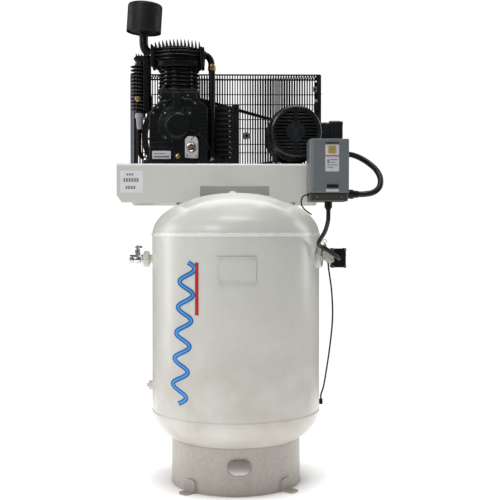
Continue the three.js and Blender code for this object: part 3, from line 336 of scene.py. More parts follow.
class Piece:
    """The bodies of one piece, each closed, in millimetres about the tank's axis."""

    def __init__(self, name, *finishes, body="machine"):
        self.name, self.finishes, self.body = name, finishes, body
        self.points, self.faces, self.slots = [], [], []
        self.turn = STRAIGHT

    def add(self, points, faces, slot=0, bevel=0.0, steps=2):
        if bevel:
            mesh = bmesh.new()
            corners = [mesh.verts.new(point) for point in points]
            for face in faces:
                mesh.faces.new([corners[i] for i in face])
            bmesh.ops.recalc_face_normals(mesh, faces=mesh.faces)
            sharp = [e for e in mesh.edges if e.calc_face_angle(0) > math.radians(31)]
            bmesh.ops.bevel(mesh, geom=sharp, offset=bevel, segments=steps, profile=0.5, affect="EDGES",
                clamp_overlap=True)
            mesh.verts.index_update()
            points = [v.co.copy() for v in mesh.verts]
            faces = [[v.index for v in face.verts] for face in mesh.faces]
            mesh.free()
        start = len(self.points)
        self.points += [self.turn @ Vector(point) for point in points]
        self.faces += [[start + i for i in face] for face in faces]
        self.slots += [slot] * len(faces)
        return self

    def prism(self, outline, axis, low, high, slot=0, bevel=0.0, steps=2):
        n = len(outline)
        points = [spread(axis, a, b, h) for h in (low, high) for a, b in outline]
        return self.add(points, caps(n, 2 * n) + walls(0, n, n), slot, bevel, steps)

    def box(self, x, y, z, slot=0, bevel=0.0):
        return self.prism([(x[0], y[0]), (x[1], y[0]), (x[1], y[1]), (x[0], y[1])], "z", *z, slot, bevel)

    def bar(self, axis, place, low, high, radius, sides=24, slot=0, bevel=0.0, spin=0.0):
        return self.prism(circle(place, radius, sides, spin), axis, low, high, slot, bevel)

    def bars(self, axis, places, *shape):
        for place in places:
            self.bar(axis, place, *shape)

    def lathe(self, profile, axis, place, sides=48, slot=0):
        """A turned body. The profile of (radius, height) closes on itself, or on the axis."""
        rows, points = [], []
        for r, h in profile:
            rows.append((len(points), 1 if r == 0 else sides))
            points += [spread(axis, *across, h) for across in circle(place, r, sides)[:rows[-1][1]]]
        faces = []
        pairs = list(zip(rows, rows[1:]))
        if profile[0][0] > 0:
            pairs.append((rows[-1], rows[0]))
        for (a, many_a), (b, many_b) in pairs:
            for i in range(sides):
                j = (i + 1) % sides
                face = list(dict.fromkeys([a + i % many_a, a + j % many_a, b + j % many_b, b + i % many_b]))
                if len(face) > 2:
                    faces.append(face)
        return self.add(points, faces, slot)

    def tube(self, route, radius, sides=12, slot=0, closed=False, steps=0):
        """A round bar along points. steps smooths the route through them."""
        route = smooth_route(route, steps) if steps else [Vector(p) for p in route]
        n = len(route)
        points, faces, side = [], [], None
        for i, here in enumerate(route):
            ahead = route[(i + 1) % n] if closed or i < n - 1 else here
            behind = route[i - 1] if closed or i > 0 else here
            along = (ahead - behind).normalized()
            if side is None:
                side = along.orthogonal().normalized()
            side = (side - along * side.dot(along)).normalized()
            up = along.cross(side)
            points += [here + side * a + up * b for a, b in circle((0, 0), radius, sides)]
        for i in range(n if closed else n - 1):
            faces += walls(i * sides, (i + 1) % n * sides, sides)
        return self.add(points, faces if closed else faces + caps(sides, n * sides), slot)

    def bolt(self, axis, place, base, way, size=8.0, height=5.0, slot=0, washer=True, spin=0.2):
        """A hexagon head that stands on base and points along way, +1 or -1."""
        rim = size * 0.12
        if washer:
            self.bar(axis, place, *sorted((base - 0.5 * way, base + 1.6 * way)), size * 1.45, 24, slot, 0.4)
            base += 1.6 * way
        self.bar(axis, place, *sorted((base - 0.3 * way, base + height * way)), size, 6, slot, rim, spin)
        low, high = sorted((base + (height - 0.5) * way, base + (height + rim) * way))
        return self.bar(axis, place, low, high, size * 0.72, 20, slot, size * 0.1)

    def bolts(self, axis, places, *shape):
        for place in places:
            self.bolt(axis, place, *shape)

    def make(self, *nodes, slot=None):
        """The finished object. It stands for the CAD nodes named."""
        mesh = bpy.data.meshes.new(self.name)
        mesh.from_pydata([at(*point) for point in self.points], [], self.faces)
        for finish in self.finishes:
            mesh.materials.append(finish.material)
        mesh.polygons.foreach_set("material_index", self.slots)
        tidy = bmesh.new()
        tidy.from_mesh(mesh)
        bmesh.ops.recalc_face_normals(tidy, faces=tidy.faces)
        tidy.to_mesh(mesh)
        tidy.free()
        mesh.shade_smooth()
        mesh.set_sharp_from_angle(angle=SHARP)
        made = bpy.data.objects.new(self.name, mesh)
        bpy.context.collection.objects.link(made)
        made.modifiers.new("normals", "WEIGHTED_NORMAL").keep_sharp = True
        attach(made, self.body)
        if nodes:
            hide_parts(*nodes)
        return made


def carve(made, *tools):
    """Cuts tools out of a made object for good, and removes them."""
    for tool in tools:
        cutter = tool.make()
        step = made.modifiers.new("cut", "BOOLEAN")
        step.operation, step.solver, step.object = "DIFFERENCE", "EXACT", cutter
        made.modifiers.move(made.modifiers.find(step.name), 0)
        with bpy.context.temp_override(object=made, active_object=made):
            bpy.ops.object.modifier_apply(modifier=step.name)
        bpy.data.objects.remove(cutter)
    made.data.shade_smooth()
    made.data.set_sharp_from_angle(angle=SHARP)
    return made


# ------------------------------------------------------------------ cords
def cord(node, name, route, diameter, finish):
    """A free conduit or tube on its own route, as a round curve."""
    curve = bpy.data.curves.new(name, "CURVE")
    curve.dimensions = "3D"
    curve.bevel_depth = diameter * 0.0005
    curve.bevel_resolution = 5
    curve.use_fill_caps = True
    path = [Vector(at(*point)) for point in smooth_route(route, 4)]
    line = curve.splines.new("POLY")
    line.points.add(len(path) - 1)
    for point, place in zip(line.points, path):
        point.co = (*place, 1)
    line.use_smooth = True
    curve.materials.append(finish.material)
    made = bpy.data.objects.new(name, curve)
    bpy.context.collection.objects.link(made)
    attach(made, "machine")
    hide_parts(node)


MOTOR_ROUTE = [(392.4, -60, 1189), (404, -60, 1189), (422, -76, 1184), (444, -112, 1170), (466, -154, 1149),
    (486, -192, 1123), (496, -220, 1091), (489, -240, 1062), (468, -248, 1044), (440, -250, 1038),
    (428, -250, 1037), (416.4, -250, 1037)]
SWITCH_ROUTE = [(314, -250, 983.6), (314, -250, 970), (313.5, -246, 948), (306, -222, 912),
    (293, -190, 884), (289, -165, 868), (297, -150, 859), (316, -141, 850), (341, -130, 834),
    (362, -109, 819), (371, -87, 813), (371, -76, 812), (371, -66.2, 812)]
DRAIN_ROUTE = [(331, -87, 799.6), (331.5, -87, 785), (336, -82, 755), (345, -66, 700), (352, -38, 600),
    (345, -22, 500), (333, -4, 400), (323, 7, 335), (*DRAIN_AXIS, 306), (*DRAIN_AXIS, 292.3)]
PILOT_ROUTE = [
    (245.6, -250, 1034), (236, -250, 1034.5), (227, -250, 1028), (222, -250, 1014), (224, -250, 999),
    (233, -250, 986), (245, -250, 976), (257, -250, 968),
]
cord("conduit_motor", "motor_conduit_run", MOTOR_ROUTE, 20, CONDUIT)
cord("conduit_switch", "switch_conduit_run", SWITCH_ROUTE, 15, CONDUIT)
cord("drain_tube", "drain_tube_run", DRAIN_ROUTE, 6, PLASTIC)
cord("pilot_lead", "pilot_lead_run", PILOT_ROUTE, 5, PLASTIC)


# ------------------------------------------------------------------ tank and base
def dome(seam, side, steps=24):
    """Half of an elliptical head's profile, from its tip to its rim. side is +1 or -1."""
    turns = [math.pi / 2 * i / steps for i in range(steps + 1)]
    return [(TANK_R * math.sin(turn), seam + side * DOME_RISE * math.cos(turn)) for turn in turns]


def bead(piece, radius, level, size, slot=0):
    """A weld bead round the tank's axis, rippled along its length."""
    start = len(piece.points)
    profile = [(radius - 2, level - size), (radius + size * 0.3, level - size * 0.7),
        (radius + size * 0.45, level), (radius + size * 0.3, level + size * 0.7),
        (radius - 2, level + size)]
    piece.lathe(profile, "z", (0, 0), 160, slot)
    for point in piece.points[start:]:
        swell = 0.35 * math.sin(math.atan2(point.y, point.x) * 53)
        point.xy *= 1 + swell / TANK_R
        point.z += swell


tank = Piece("tank", PAINT, HIGHLIGHT_PAINT)
tank.lathe(dome(LOW_SEAM, -1) + dome(HIGH_SEAM, 1)[::-1], "z", (0, 0), 160)
# The upper weld bead takes the lighter paint: a painted highlight.
bead(tank, TANK_R, HIGH_SEAM, 7, 1)
bead(tank, TANK_R, LOW_SEAM, 5.5)
seam = [(0, TANK_R + 0.4 + 0.3 * math.sin(i * 1.7), 266 + i * 5.3) for i in range(119)]
tank.turn = about_tank(24)
tank.tube(seam, 3.2, 8)
tank.turn = about_tank(SWITCH_TURN)
tank.lathe([(0, -320), (33, -320), (36, -316), (36, -313), (36, -280), (0, -280)][::-1], "y", (0, 817), 48)
tank.turn = STRAIGHT
tank.bar("z", (-12, -8), 1046, 1056, 14, 32, 0, 1.5)
tank.bar("z", (-12, -8), 1055, 1059, 9, 6, 0, 1.0)
tank.make("tank_shell", slot="tank_paint")


def on_tank(x, z, radius):
    """The point at x on the tank's front, at a radius round its axis."""
    angle = math.asin(x / TANK_R)
    return (radius * math.sin(angle), -radius * math.cos(angle), z)


def wrap(piece, across, low, high, radius, slot, columns, thick=0.0):
    """A patch that lies on the tank between two x places. low and high give its lower and upper edge."""
    xs = [across[0] + (across[1] - across[0]) * i / columns for i in range(columns + 1)]
    rings = [radius, radius - thick] if thick else [radius]
    points = []
    for r in rings:
        for z in (low, high):
            points += [on_tank(x, z, r) for x in xs]
    n = columns + 1
    faces = [[i, i + 1, n + i + 1, n + i] for i in range(columns)]
    if thick:
        faces += [[2 * n + i, 3 * n + i, 3 * n + i + 1, 2 * n + i + 1] for i in range(columns)]
        faces += [[i, 2 * n + i, 2 * n + i + 1, i + 1] for i in range(columns)]
        faces += [[n + i, n + i + 1, 3 * n + i + 1, 3 * n + i] for i in range(columns)]
        faces += [[0, n, 3 * n, 2 * n], [columns, 2 * n + columns, 3 * n + columns, n + columns]]
    return piece.add(points, faces, slot)


plate = Piece("data_plate_cover", PAINT)
wrap(plate, (-61, 67), 737, 825, 306.8, 0, 16, 1.2)
for low, high in ((737, 741), (821, 825)):
    wrap(plate, (-61, 67), low, high, 308.6, 0, 16, 2.6)
for x in ((-61, -57), (63, 67)):
    wrap(plate, x, 737, 825, 308.6, 0, 2, 2.6)
for x, z in grid((-50, 56), (748, 814)):
    y = -math.sqrt(306.8 ** 2 - x * x)
    plate.bar("y", (x, z), y - 1.6, y + 1, 3, 16, 0, 0.8)
plate.make("data_plate", slot="tank_paint")

stripes = Piece("tank_ribbon", VINYL, BLUE, PALE_BLUE, RED)


def ribbon(width, radius, slot, steps=150):
    """A waving band up the front of the tank, laid on its surface."""
    line = []
    for i in range(steps + 1):
        t = i / steps
        line.append(Vector((-196 + 34 * t + 25 * math.sin(t * 5.5 * TAU), 322 + 484 * t)))
    points = []
    for i, here in enumerate(line):
        ahead = line[min(i + 1, steps)] - line[max(i - 1, 0)]
        across = Vector((-ahead.y, ahead.x)).normalized() * width / 2
        for place in (here - across, here, here + across):
            points.append(on_tank(place.x, place.y, radius))
    faces = [[k, k + 1, k + 4, k + 3] for i in range(steps) for k in (i * 3, i * 3 + 1)]
    stripes.add(points, faces, slot)


ribbon(21, TANK_R + 0.3, 0)
ribbon(16, TANK_R + 0.5, 1)
ribbon(5, TANK_R + 0.7, 2)
wrap(stripes, (-140, -123), 626, 808, TANK_R + 0.3, 0, 4)
wrap(stripes, (-137.5, -125.5), 628, 806, TANK_R + 0.5, 3, 4)
stripes.make(slot="tank_paint")

ANCHORS = (-45, 45, 135, 225)
skirt = Piece("skirt", SKIRT)
skirt.lathe([(229.8, 0), (234.4, 0), (235, 0.8), (235, 163), (229, 163), (229, 0.8)], "z", (0, 0), 160)
hand = Piece("hand_hole_tool")
hand.turn = about_tank(SKIRT_TURN)
hand.prism(rounded(-43.5, 43.5, 71, 133, 30.9, 12), "y", -260, -200)
carve(skirt.make("base_ring", slot="tank_paint"), hand)

trim = Piece("skirt_trim", SKIRT)
bead(trim, 235, 163, 3.6)
trim.turn = about_tank(SKIRT_TURN)
lip = [(x, -math.sqrt(233.4 ** 2 - x * x), z) for x, z in rounded(-44.5, 44.5, 70, 134, 31.5, 10)]
trim.tube(lip, 3.3, 10, closed=True)
for angle in ANCHORS:
    trim.turn = about_tank(angle + SKIRT_TURN)
    trim.prism([(-22, 0), (22, 0), (22, 38), (14, 46), (-14, 46), (-22, 38)], "y", -241, -233, 0, 1.2)
    for side in (-1, 1):
        trim.tube([(22 * side, -236, 1), (22.5 * side, -235.2, 20), (22 * side, -235.5, 40)], 2.2, 8)
    trim.tube([(-22, -241.5, 6.5), (22, -241.5, 6.5)], 2.4, 8)
trim.make(slot="tank_paint")

feet = Piece("anchor_feet", SKIRT)
holes = Piece("anchor_hole_tool")
for angle in ANCHORS:
    feet.turn = holes.turn = about_tank(angle + SKIRT_TURN)
    feet.prism([(-22, -232), (22, -232), (22, -272), (13, -281), (-13, -281), (-22, -272)],
        "z", 0, 6, 0, 1.0)
    holes.bar("z", (0, -258), -3, 9, 7, 32)
carve(feet.make(slot="tank_paint"), holes)


# ------------------------------------------------------------------ deck
def deck_low(x):
    """The height of the long edge's lower border at x."""
    outline = [(-412, 1035), (-394, 1011), (-180, 1011), (-150, 1024), (-124, 1031), (-123.6, 1068),
        (115.6, 1068), (116, 1031), (142, 1024), (172, 1011), (307, 1011), (325, 1035)]
    for (x0, z0), (x1, z1) in zip(outline, outline[1:]):
        if x0 <= x <= x1:
            return z0 + (z1 - z0) * (x - x0) / (x1 - x0)
    return outline[-1][1]


def deck_section(low, side=185.0, sheet=5.0, bend=9.0, steps=5):
    """The deck's cross-section in y and z: a top sheet bent down at both long edges."""

    def corner(cy, radius, start):
        turns = [math.radians(start + 90 * i / steps) for i in range(steps + 1)]
        return [(cy + radius * math.cos(t), DECK_TOP - bend + radius * math.sin(t)) for t in turns]

    right = corner(side - bend, bend, 0)
    left = corner(-side + bend, bend, 90)
    inner_left = corner(-side + bend, bend - sheet, 90)[::-1]
    inner_right = corner(side - bend, bend - sheet, 0)[::-1]
    return [(side, low + 0.8), *right, *left, (-side, low + 0.8), (-side + 0.8, low), (-side + sheet, low),
        *inner_left, *inner_right, (side - sheet, low), (side - 0.8, low)]


deck = Piece("deck_channel", PAINT, HIGHLIGHT_PAINT)
stations = [-412, -403, -394, -340, -280, -230, -180, -165, -150, -137, -124, -123.6, -60, 0, 60, 115.6,
    116, 129, 142, 157, 172, 220, 260, 307, 316, 325]
rows = [[(x, y, z) for y, z in deck_section(deck_low(x))] for x in stations]
count = len(rows[0])
faces = [face for i in range(len(rows) - 1) for face in walls(i * count, (i + 1) * count, count)]
deck.add([point for row in rows for point in row], faces + caps(count, len(rows) * count))
for x0, x1 in ((-412, -407), (320, 325)):
    deck.prism([(-180, 1064), (-167, 1051), (167, 1051), (180, 1064), (180, 1143), (-180, 1143)],
        "x", x0, x1, 0, 1.5)
for x in (-318, 230):
    for side in (-1, 1):
        deck.prism([(178 * side, 1020), (60 * side, 1141), (178 * side, 1141)],
            "x", x - 2.5, x + 2.5, 0, 0.6)
# The bend along the front of the top takes the lighter paint: a painted highlight where it catches the
# light.
for face in deck.make("deck", slot="tank_paint").data.polygons:
    if face.normal.y < -0.1 and face.normal.z > 0.2 and face.center.z > 1.13:
        face.material_index = 1

sticker = Piece("deck_label", STICKER, INK)
sticker.prism(rounded(-400, -321, 1045, 1121, 2), "y", -185.5, -184.9, 0)
for x0, x1, z0, z1 in ((-378, -343, 1104, 1111), (-388, -333, 1082, 1095), (-381, -340, 1057, 1068)):
    for i in range(int((x1 - x0) / 9)):
        sticker.box((x0 + i * 9, x0 + i * 9 + 6.4), (-185.8, -185.2), (z0, z1), 1)
sticker.make()

# The saddle under the deck is drawn in the darker paint: painted shade.
saddle = Piece("dome_saddle", SADDLE_PAINTED_SHADE)
rise = [(x, HIGH_SEAM + 152.6 * math.sqrt(1 - (x / 305.6) ** 2)) for x in range(-216, 217, 18)]
saddle.prism([*rise, (216, 1140), (-216, 1140)], "y", -4, 4, 0, 0.5)
for x in (-214, 214):
    saddle.box((x - 3, x + 3), (-60, 60), (1014, 1140), 0, 1.0)
for i in range(12):
    x0, x1 = -205 + i * 35, -190 + i * 35
    z0, z1 = (HIGH_SEAM + DOME_RISE * math.sqrt(1 - (x / TANK_R) ** 2) for x in (x0, x1))
    saddle.tube([(x0, -5, z0 + 1.5), (x1, -5, z1 + 1.5)], 3.0, 8)
saddle.make("deck_saddle", slot="tank_paint")


# ------------------------------------------------------------------ tank fittings
bung = Piece("outlet_boss", PAINT)
bung.lathe([(9, -338), (25, -338), (28, -337), (29.5, -335), (29.5, -320), (28, -318), (19, -316.5),
    (15.5, -314), (15.5, -306), (19, -300), (9, -300)], "x", (0, VALVE_Z), 48)
bung.make("outlet_bung", slot="tank_paint")

valve = Piece("outlet_valve", CHROME, DARK)
valve.bar("x", (0, VALVE_Z), -345, -338.4, 16.5, 6, 0, 1.2, 0.3)
valve.lathe([(8, -344), (13.5, -344), (13.5, -346), (15.5, -348), (16.5, -353), (16.8, -360), (16.5, -367),
    (15.5, -372), (13.5, -374), (13.5, -376), (8, -376)], "x", (0, VALVE_Z), 40)
valve.bar("x", (0, VALVE_Z), -388, -375, 16.2, 6, 0, 1.2, 0.3)
valve.lathe([(8, -389), (13.5, -389), (13.5, -387.5), (8, -387.5)], "x", (0, VALVE_Z), 32)
# A dark bar fills the bore: painted shade inside the valve's opening.
valve.bar("x", (0, VALVE_Z), -386, -340, 8.2, 24, 1)
valve.bar("z", VALVE_STEM, 822, 832, 10, 24, 0, 0.8)
valve.bar("z", VALVE_STEM, 831, 844, 9.6, 6, 0, 0.8)
valve.make("outlet_valve_body", slot="nickel_plate")

lever = Piece("outlet_valve_lever", ZINC, PLASTIC, body="outlet_handle")
lever.bar("z", VALVE_STEM, 844.3, 852, 7, 24, 0, 0.6)
lever.prism([(-370, -9), (-350, -9), (-350, 12), (-353, 22), (-353, 40), (-367, 40), (-367, 22),
    (-370, 12)], "z", 851.3, 855.3, 0, 0.7)
lever.prism([(-368.5, 34), (-351.5, 34), (-350, 40), (-350, 70), (-354, 76), (-366, 76), (-370, 70),
    (-370, 40)], "z", 850, 856.6, 1, 1.8, 3)
lever.bar("z", VALVE_STEM, 855, 859.6, 5.4, 6, 0, 0.5)
lever.make("outlet_valve_handle", slot="nickel_plate")

plug = Piece("lower_side_plug", PAINT)
plug.lathe([(0, -300), (19, -300), (16.5, -306), (16.5, -317), (15, -319), (0, -319)], "x", (0, PLUG_Z), 40)
plug.bar("x", (0, PLUG_Z), -326, -318, 9, 4, 0, 0.8, 0.5)
plug.make("side_plug", slot="tank_paint")

body = Piece("switch_manifold_casting", GREY_CAST, BRASS)
body.turn = about_tank(SWITCH_TURN)
body.bar("y", (0, 823), -329, -313, 7, 24, 0, 0.5)
body.bar("y", (0, 823), -323, -318, 11, 6, 1, 0.6)
body.turn = STRAIGHT
outline = [(309, 816), (309, 838), (312, 841), (331, 841), (341, 836), (348, 826), (350, 820), (350, 805),
    (347, 801), (340, 800), (326, 800), (322, 804)]
body.prism(outline, "y", -107, -67, 0, 2.4, 3)
body.tube([(311, -108, 836), (326, -108.4, 826), (340, -108, 803)], 1.6, 8)
screws = ((317, 834), (344, 808))
body.bars("y", screws, -109.5, -106, 3.6, 16, 0, 0.7)
body.bars("y", screws, -110, -109, 1.8, 6, 1)
body.bar("z", (331, -87), 795.5, 801, 5.5, 6, 1, 0.5)
body.bar("z", RELIEF, 840, 842, 9, 24, 0, 0.5)
body.make("switch_manifold", slot="grey_casting")

switch = Piece("pressure_switch_case", PLASTIC, ZINC)
switch.prism(rounded(345, 397, 781, 849, 8), "y", -65.7, -20, 0, 1.4)
corners = grid((349, 393), (785, 845))
switch.bars("y", corners, -67, -18, 6, 20, 0, 0.8)
switch.bars("y", corners, -67.8, -66, 3.2, 12, 1, 0.5)
switch.prism(rounded(349, 393, 785, 845, 7), "y", -22, -8, 0, 2.5, 3)
switch.prism(rounded(352, 390, 803, 841, 5), "y", -68.2, -65, 0, 1.0)
for i in range(5):
    switch.box((354, 388), (-69.2, -67.5), (808 + i * 6.5, 810.6 + i * 6.5), 0, 0.6)
switch.lathe([(0, -72), (9.5, -72), (10.5, -70), (10.5, -65), (0, -65)], "y", SWITCH_PORT, 32)
switch.bar("x", (-46, 826), 396, 399, 6, 24, 0, 0.6)
switch.make("pressure_switch", slot="black_plastic")

relief = Piece("safety_valve", BRASS)
relief.lathe([(0, 841.3), (6.5, 841.3), (6.5, 847), (8.8, 848), (8.8, 851), (7.2, 852), (7.2, 858),
    (8.4, 859), (8.4, 861.5), (5, 864), (4.4, 867), (0, 867)], "z", RELIEF, 32)
relief.bar("z", RELIEF, 842.5, 847.5, 8.8, 6, 0, 0.5)
relief.make("safety_valve_body", slot="brass_fitting")

pull = Piece("safety_valve_pull", BARE, body="relief_ring")
pull.bar("z", RELIEF, 867.3, 871.2, 1.8, 12)
pull.tube(hoop((RELIEF[0], 876), RELIEF[1], 6.5), 1.2, 8, closed=True)
pull.make("safety_valve_ring", slot="bare_steel")

drain = Piece("drain_elbow", PLASTIC, BRASS)
drain.turn = about_tank(DRAIN_TURN)
drain.bar("y", (0, DRAIN_Z), -321, -304, 7, 24, 0, 0.8)
drain.bar("y", (0, DRAIN_Z), -309, -303, 9, 6, 1, 0.6)
drain.turn = STRAIGHT
drain.bar("z", DRAIN_AXIS, 276, 287, 5.6, 24, 0, 0.6)
drain.bar("z", DRAIN_AXIS, 286, 292.2, 6.4, 24, 0, 0.8)
drain.make("drain_fitting", slot="black_plastic")


# ------------------------------------------------------------------ pump
shell = Piece("pump_case_shell", IRON)
shell.prism([(-303, 1154), (-303, 1320), (-299, 1332), (-286, 1346), (-272, 1358), (-266, 1372),
    (-265, 1400), (-137, 1400), (-136, 1380), (-128, 1366), (-108, 1356), (-99, 1344), (-99, 1154)],
    "y", -150, 84, 0, 5, 4)
collar = Piece("pump_case_collar", IRON)
collar.prism(rounded(-274, -132, -149, 83, 14), "z", 1396, 1408.8, 0, 2)
hollow = Piece("case_hollow_tool")
hollow.prism([(-293, 1164), (-110, 1164), (-110, 1345), (-146, 1386), (-146, 1402), (-260, 1402),
    (-260, 1384), (-293, 1325)], "y", -138, 72)
for made, tools in ((shell, [hollow]), (collar, [])):
    for y, bore in ((FIRST_Y, 56), (SECOND_Y, 32)):
        tools.append(Piece("case_bore_tool").bar("z", (PX, y), 1388, 1415, bore, 48))
    carve(made.make(slot="black_iron"), *tools)
case = Piece("pump_crankcase", IRON, ZINC, LABEL, INK, FIN_IRON, DULL)
case.prism(rounded(-327, -70, -150, 84, 12), "z", FOOT, 1158, 0, 2.2)
for z in (1237, 1275, 1314):
    case.box((-309, -300), (-132, 66), (z - 3.4, z + 3.4), 0, 2)
    case.box((-303, -274), (-155, -146), (z - 2.4, z + 2.4), 4, 1.8)
for i in range(10):
    z = 1216 + i * 13.5
    case.box((-101, -96), (-138, 70), (z - 1.8, z + 1.8), 4, 1.2)
    inner = PX + math.sqrt(max(76 ** 2 - (z - PZ) ** 2, 20 ** 2))
    if inner < -106:
        case.box((inner, -101), (-153, -147), (z - 1.5, z + 1.5), 4, 1.1)
case.bolts("z", grid((-253, -153), (-139, 73)), 1408.3, 1, 7)
case.prism([(-223, 1326), (-187, 1326), (-190, 1398), (-220, 1398)], "y", -157, -146, 0, 4.5, 4)
case.prism([(-255, 1334), (-151, 1334), (-158, 1346), (-248, 1346)], "y", -153.5, -147, 0, 2.4)
for route in (
    [(-262, -149, 1360), (-252, -152, 1366), (-240, -154, 1366), (-228, -154, 1370), (-220, -152, 1378)],
    [(-188, -152, 1378), (-178, -154, 1371), (-166, -154, 1372), (-152, -152, 1368), (-140, -149, 1362)],
):
    case.tube(route, 4.2, 14, 4, steps=5)
for x, z, size in ((-262, 1378, 4.4), (-249, 1352, 3.4), (-271, 1342, 3.6), (-287, 1324, 4.0),
        (-142, 1358, 4.0), (-166, 1384, 3.6)):
    case.bar("y", (x, z), -153.5, -146, size * 1.9, 24, 0, 1.6)
    case.bolt("y", (x, z), -153, -1, size * 0.8, 3.2, 5, False, 0.3)
feet = grid((-315, -83), (-132, 66))
case.bars("z", feet, 1157, 1161, 13, 32, 0, 1.2)
case.bolts("z", feet, 1160.6, 1, 7.6, 6, 1)
case.prism(rounded(-294, -225, 1162, 1194, 3), "y", -152, -149, 0, 0.8)
case.prism(rounded(-292, -227, 1164, 1192, 2), "y", -152.8, -151.5, 2, 0.3)
case.box((-286, -233), (-153.1, -152.5), (1168.5, 1175), 3)
case.box((-286, -245), (-153.1, -152.5), (1181, 1184.5), 3)
case.prism(rounded(-219, -186, 1160, 1186, 6), "y", -153, -149, 0, 1.6)
for z in (1205, 1222):
    case.box((-298, -215), (-152.4, -148), (z - 1.5, z + 1.5), 0, 1.2)
case.make("crankcase", slot="black_iron")

cover = Piece("pump_bearing_cover", IRON, DULL)
cover.lathe([(0, -172.3), (34, -172.3), (38, -171.6), (41.5, -169.2), (43.6, -166), (44, -163),
    (44, -160.4), (46, -158), (49, -157), (66, -156.3), (69, -155.2), (70, -153), (70, -150.3),
    (21, -150.3), (21, -160.3), (0, -160.3)], "y", PUMP, 96)
for i, place in enumerate(circle(PUMP, 60, 4, TAU / 8)[:3]):
    cover.bar("y", place, -158, -153, 12, 28, 0, 1.2)
    cover.bolt("y", place, -157.6, -1, 3.8, 3.4, 1, False, 45 + 90 * i)
for angle in (0, 90, 180, 270):
    cover.turn = about(PUMP, angle + 20)
    cover.box((PX + 43, PX + 64), (-161, -155), (PZ - 2.2, PZ + 2.2), 0, 1.6)
cover.turn = STRAIGHT
cover.make("bearing_cover", slot="black_iron")


def barrel(name, node, place, bore, core, fin, count, half):
    """A cylinder with round-edged cooling fins and a square foot and collar."""
    low, high = 1409.3, 1506.7
    pitch = (high - low - 14) / count
    profile = [(bore, low), (core + 4, low), (core + 4, low + 6), (core, low + 8)]
    for i in range(count):
        z = low + 8 + pitch * i
        for share, out in ((0.22, 0), (0.36, 0.72), (0.46, 0.95), (0.56, 1), (0.66, 0.95),
                (0.76, 0.72), (0.94, 0)):
            profile.append((core + (fin - core) * out, z + share * pitch))
    profile += [(core, high - 6), (core + 4, high - 5), (core + 4, high), (bore, high)]
    made = Piece(name, FIN_IRON)
    made.lathe(profile, "z", place, 96)
    corners = grid((place[0] - half, place[0] + half), (place[1] - half, place[1] + half))
    made.bars("z", corners, low, low + 9, 9, 20, 0, 1)
    made.bolts("z", corners, low + 8.6, 1, 5.8, 4.6, 0, False)
    made.bars("z", corners, high - 15, high, 9.5, 20, 0, 1)
    made.bars("z", corners, high - 20, high - 14, 5, 6, 0, 0.4)
    return made.make(node, slot="black_iron")


barrel("first_stage_barrel", "first_stage_cylinder", (PX, FIRST_Y), 50.3, 59.5, 72.5, 6, 47)
barrel("second_stage_barrel", "second_stage_cylinder", (PX, SECOND_Y), 26.3, 34, 43, 5, 29)


def crown(x0, x1, front, back, bulge, inset, steps=14):
    """A head's outline seen from above: a bulging front, round corners, a straight back."""
    x0, x1, back = x0 + inset, x1 - inset, back - inset
    middle, half = (x0 + x1) / 2, (x1 - x0) / 2
    shares = [-1 + 2 * i / steps for i in range(steps + 1)]
    edge = [(middle + half * share, front + inset + bulge * abs(share) ** 2.6) for share in shares]
    return [*edge, (x1, back - 12), (x1 - 12, back), (x0 + 12, back), (x0, back - 12)]


top = Piece("first_stage_head_casting", HEAD_IRON, FIN_IRON, SHADE_IRON)
# The lower ring is drawn in the blacker iron, slot 2: painted shade.
top.lathe([(73.6, 1491), (77, 1488), (81, 1490), (85, 1497), (86.5, 1509), (73.6, 1509)],
    "z", (PX, FIRST_Y), 96, 2)
HEAD_LAYERS = [
    ((-301, -115, -145, -3, 34, 9), 1508, 1552, 0, 2.5, 2),
    ((-301, -115, -145, -3, 34, 4), 1512, 1524, 0, 4.5, 4),
    ((-301, -115, -147, -3, 34, 0), 1527.5, 1533.5, 1, 2.6, 4),
    ((-301, -115, -147, -3, 34, 0), 1540, 1546, 1, 2.6, 4),
    ((-301, -115, -147, -3, 34, 4), 1549, 1555, 0, 2.4, 3),
    ((-292, -124, -140, -9, 30, 8), 1554, 1560, 0, 2.6, 3),
    ((-274, -142, -134, -14, 24, 10), 1559, 1564, 0, 2.4, 3),
]
for outline, *shape in HEAD_LAYERS:
    top.prism(crown(*outline), "z", *shape)
for i in range(13):
    x = -282 + i * 12.75
    rise = 1587.5 - 0.0016 * (x - PX) ** 2
    lean = (x - PX) * 0.012
    low = 1556.0 + 4 * (i in range(2, 11))
    points = []
    for z, half, y0, y1 in ((low, 2.2, -137, -13), (rise - 7, 1.3, -134, -18), (rise, 0.5, -128, -26)):
        shift = lean * (z - low) / (rise - low)
        points += [(x + shift - half, y0, z), (x + shift + half, y0, z), (x + shift + half, y1, z),
            (x + shift - half, y1, z)]
    top.add(points, caps(4, 12) + walls(0, 4, 4) + walls(4, 8, 4))
for x, way, tip in ((-302, 1, 1572), (-109, -1, 1562)):
    for y0, y1, drop in ((-122, -100, 0), (-60, -38, 4)):
        top.prism([(x + 4 * way, 1492), (x + 13 * way, 1490), (x + 16 * way, 1504),
            (x + 16 * way, 1552 - drop), (x + 12 * way, tip - 8 - drop), (x + 5 * way, tip - drop),
            (x + 2 * way, tip - 4 - drop), (x + 1 * way, 1540)], "y", y0, y1, 0, 2.0, 3)
studs = [*grid((-291, -125), (-70, -16)), (-208, -9)]
top.bars("z", studs, 1520, 1537, 9.5, 20, 0, 1.5)
top.bolts("z", studs, 1564, 1, 6.2, 5, 0, True, 0.4)
top.bar("x", (-75, 1540), -118, -112.9, 16, 24, 0, 0.3)
top.make("first_stage_head", slot="black_iron")

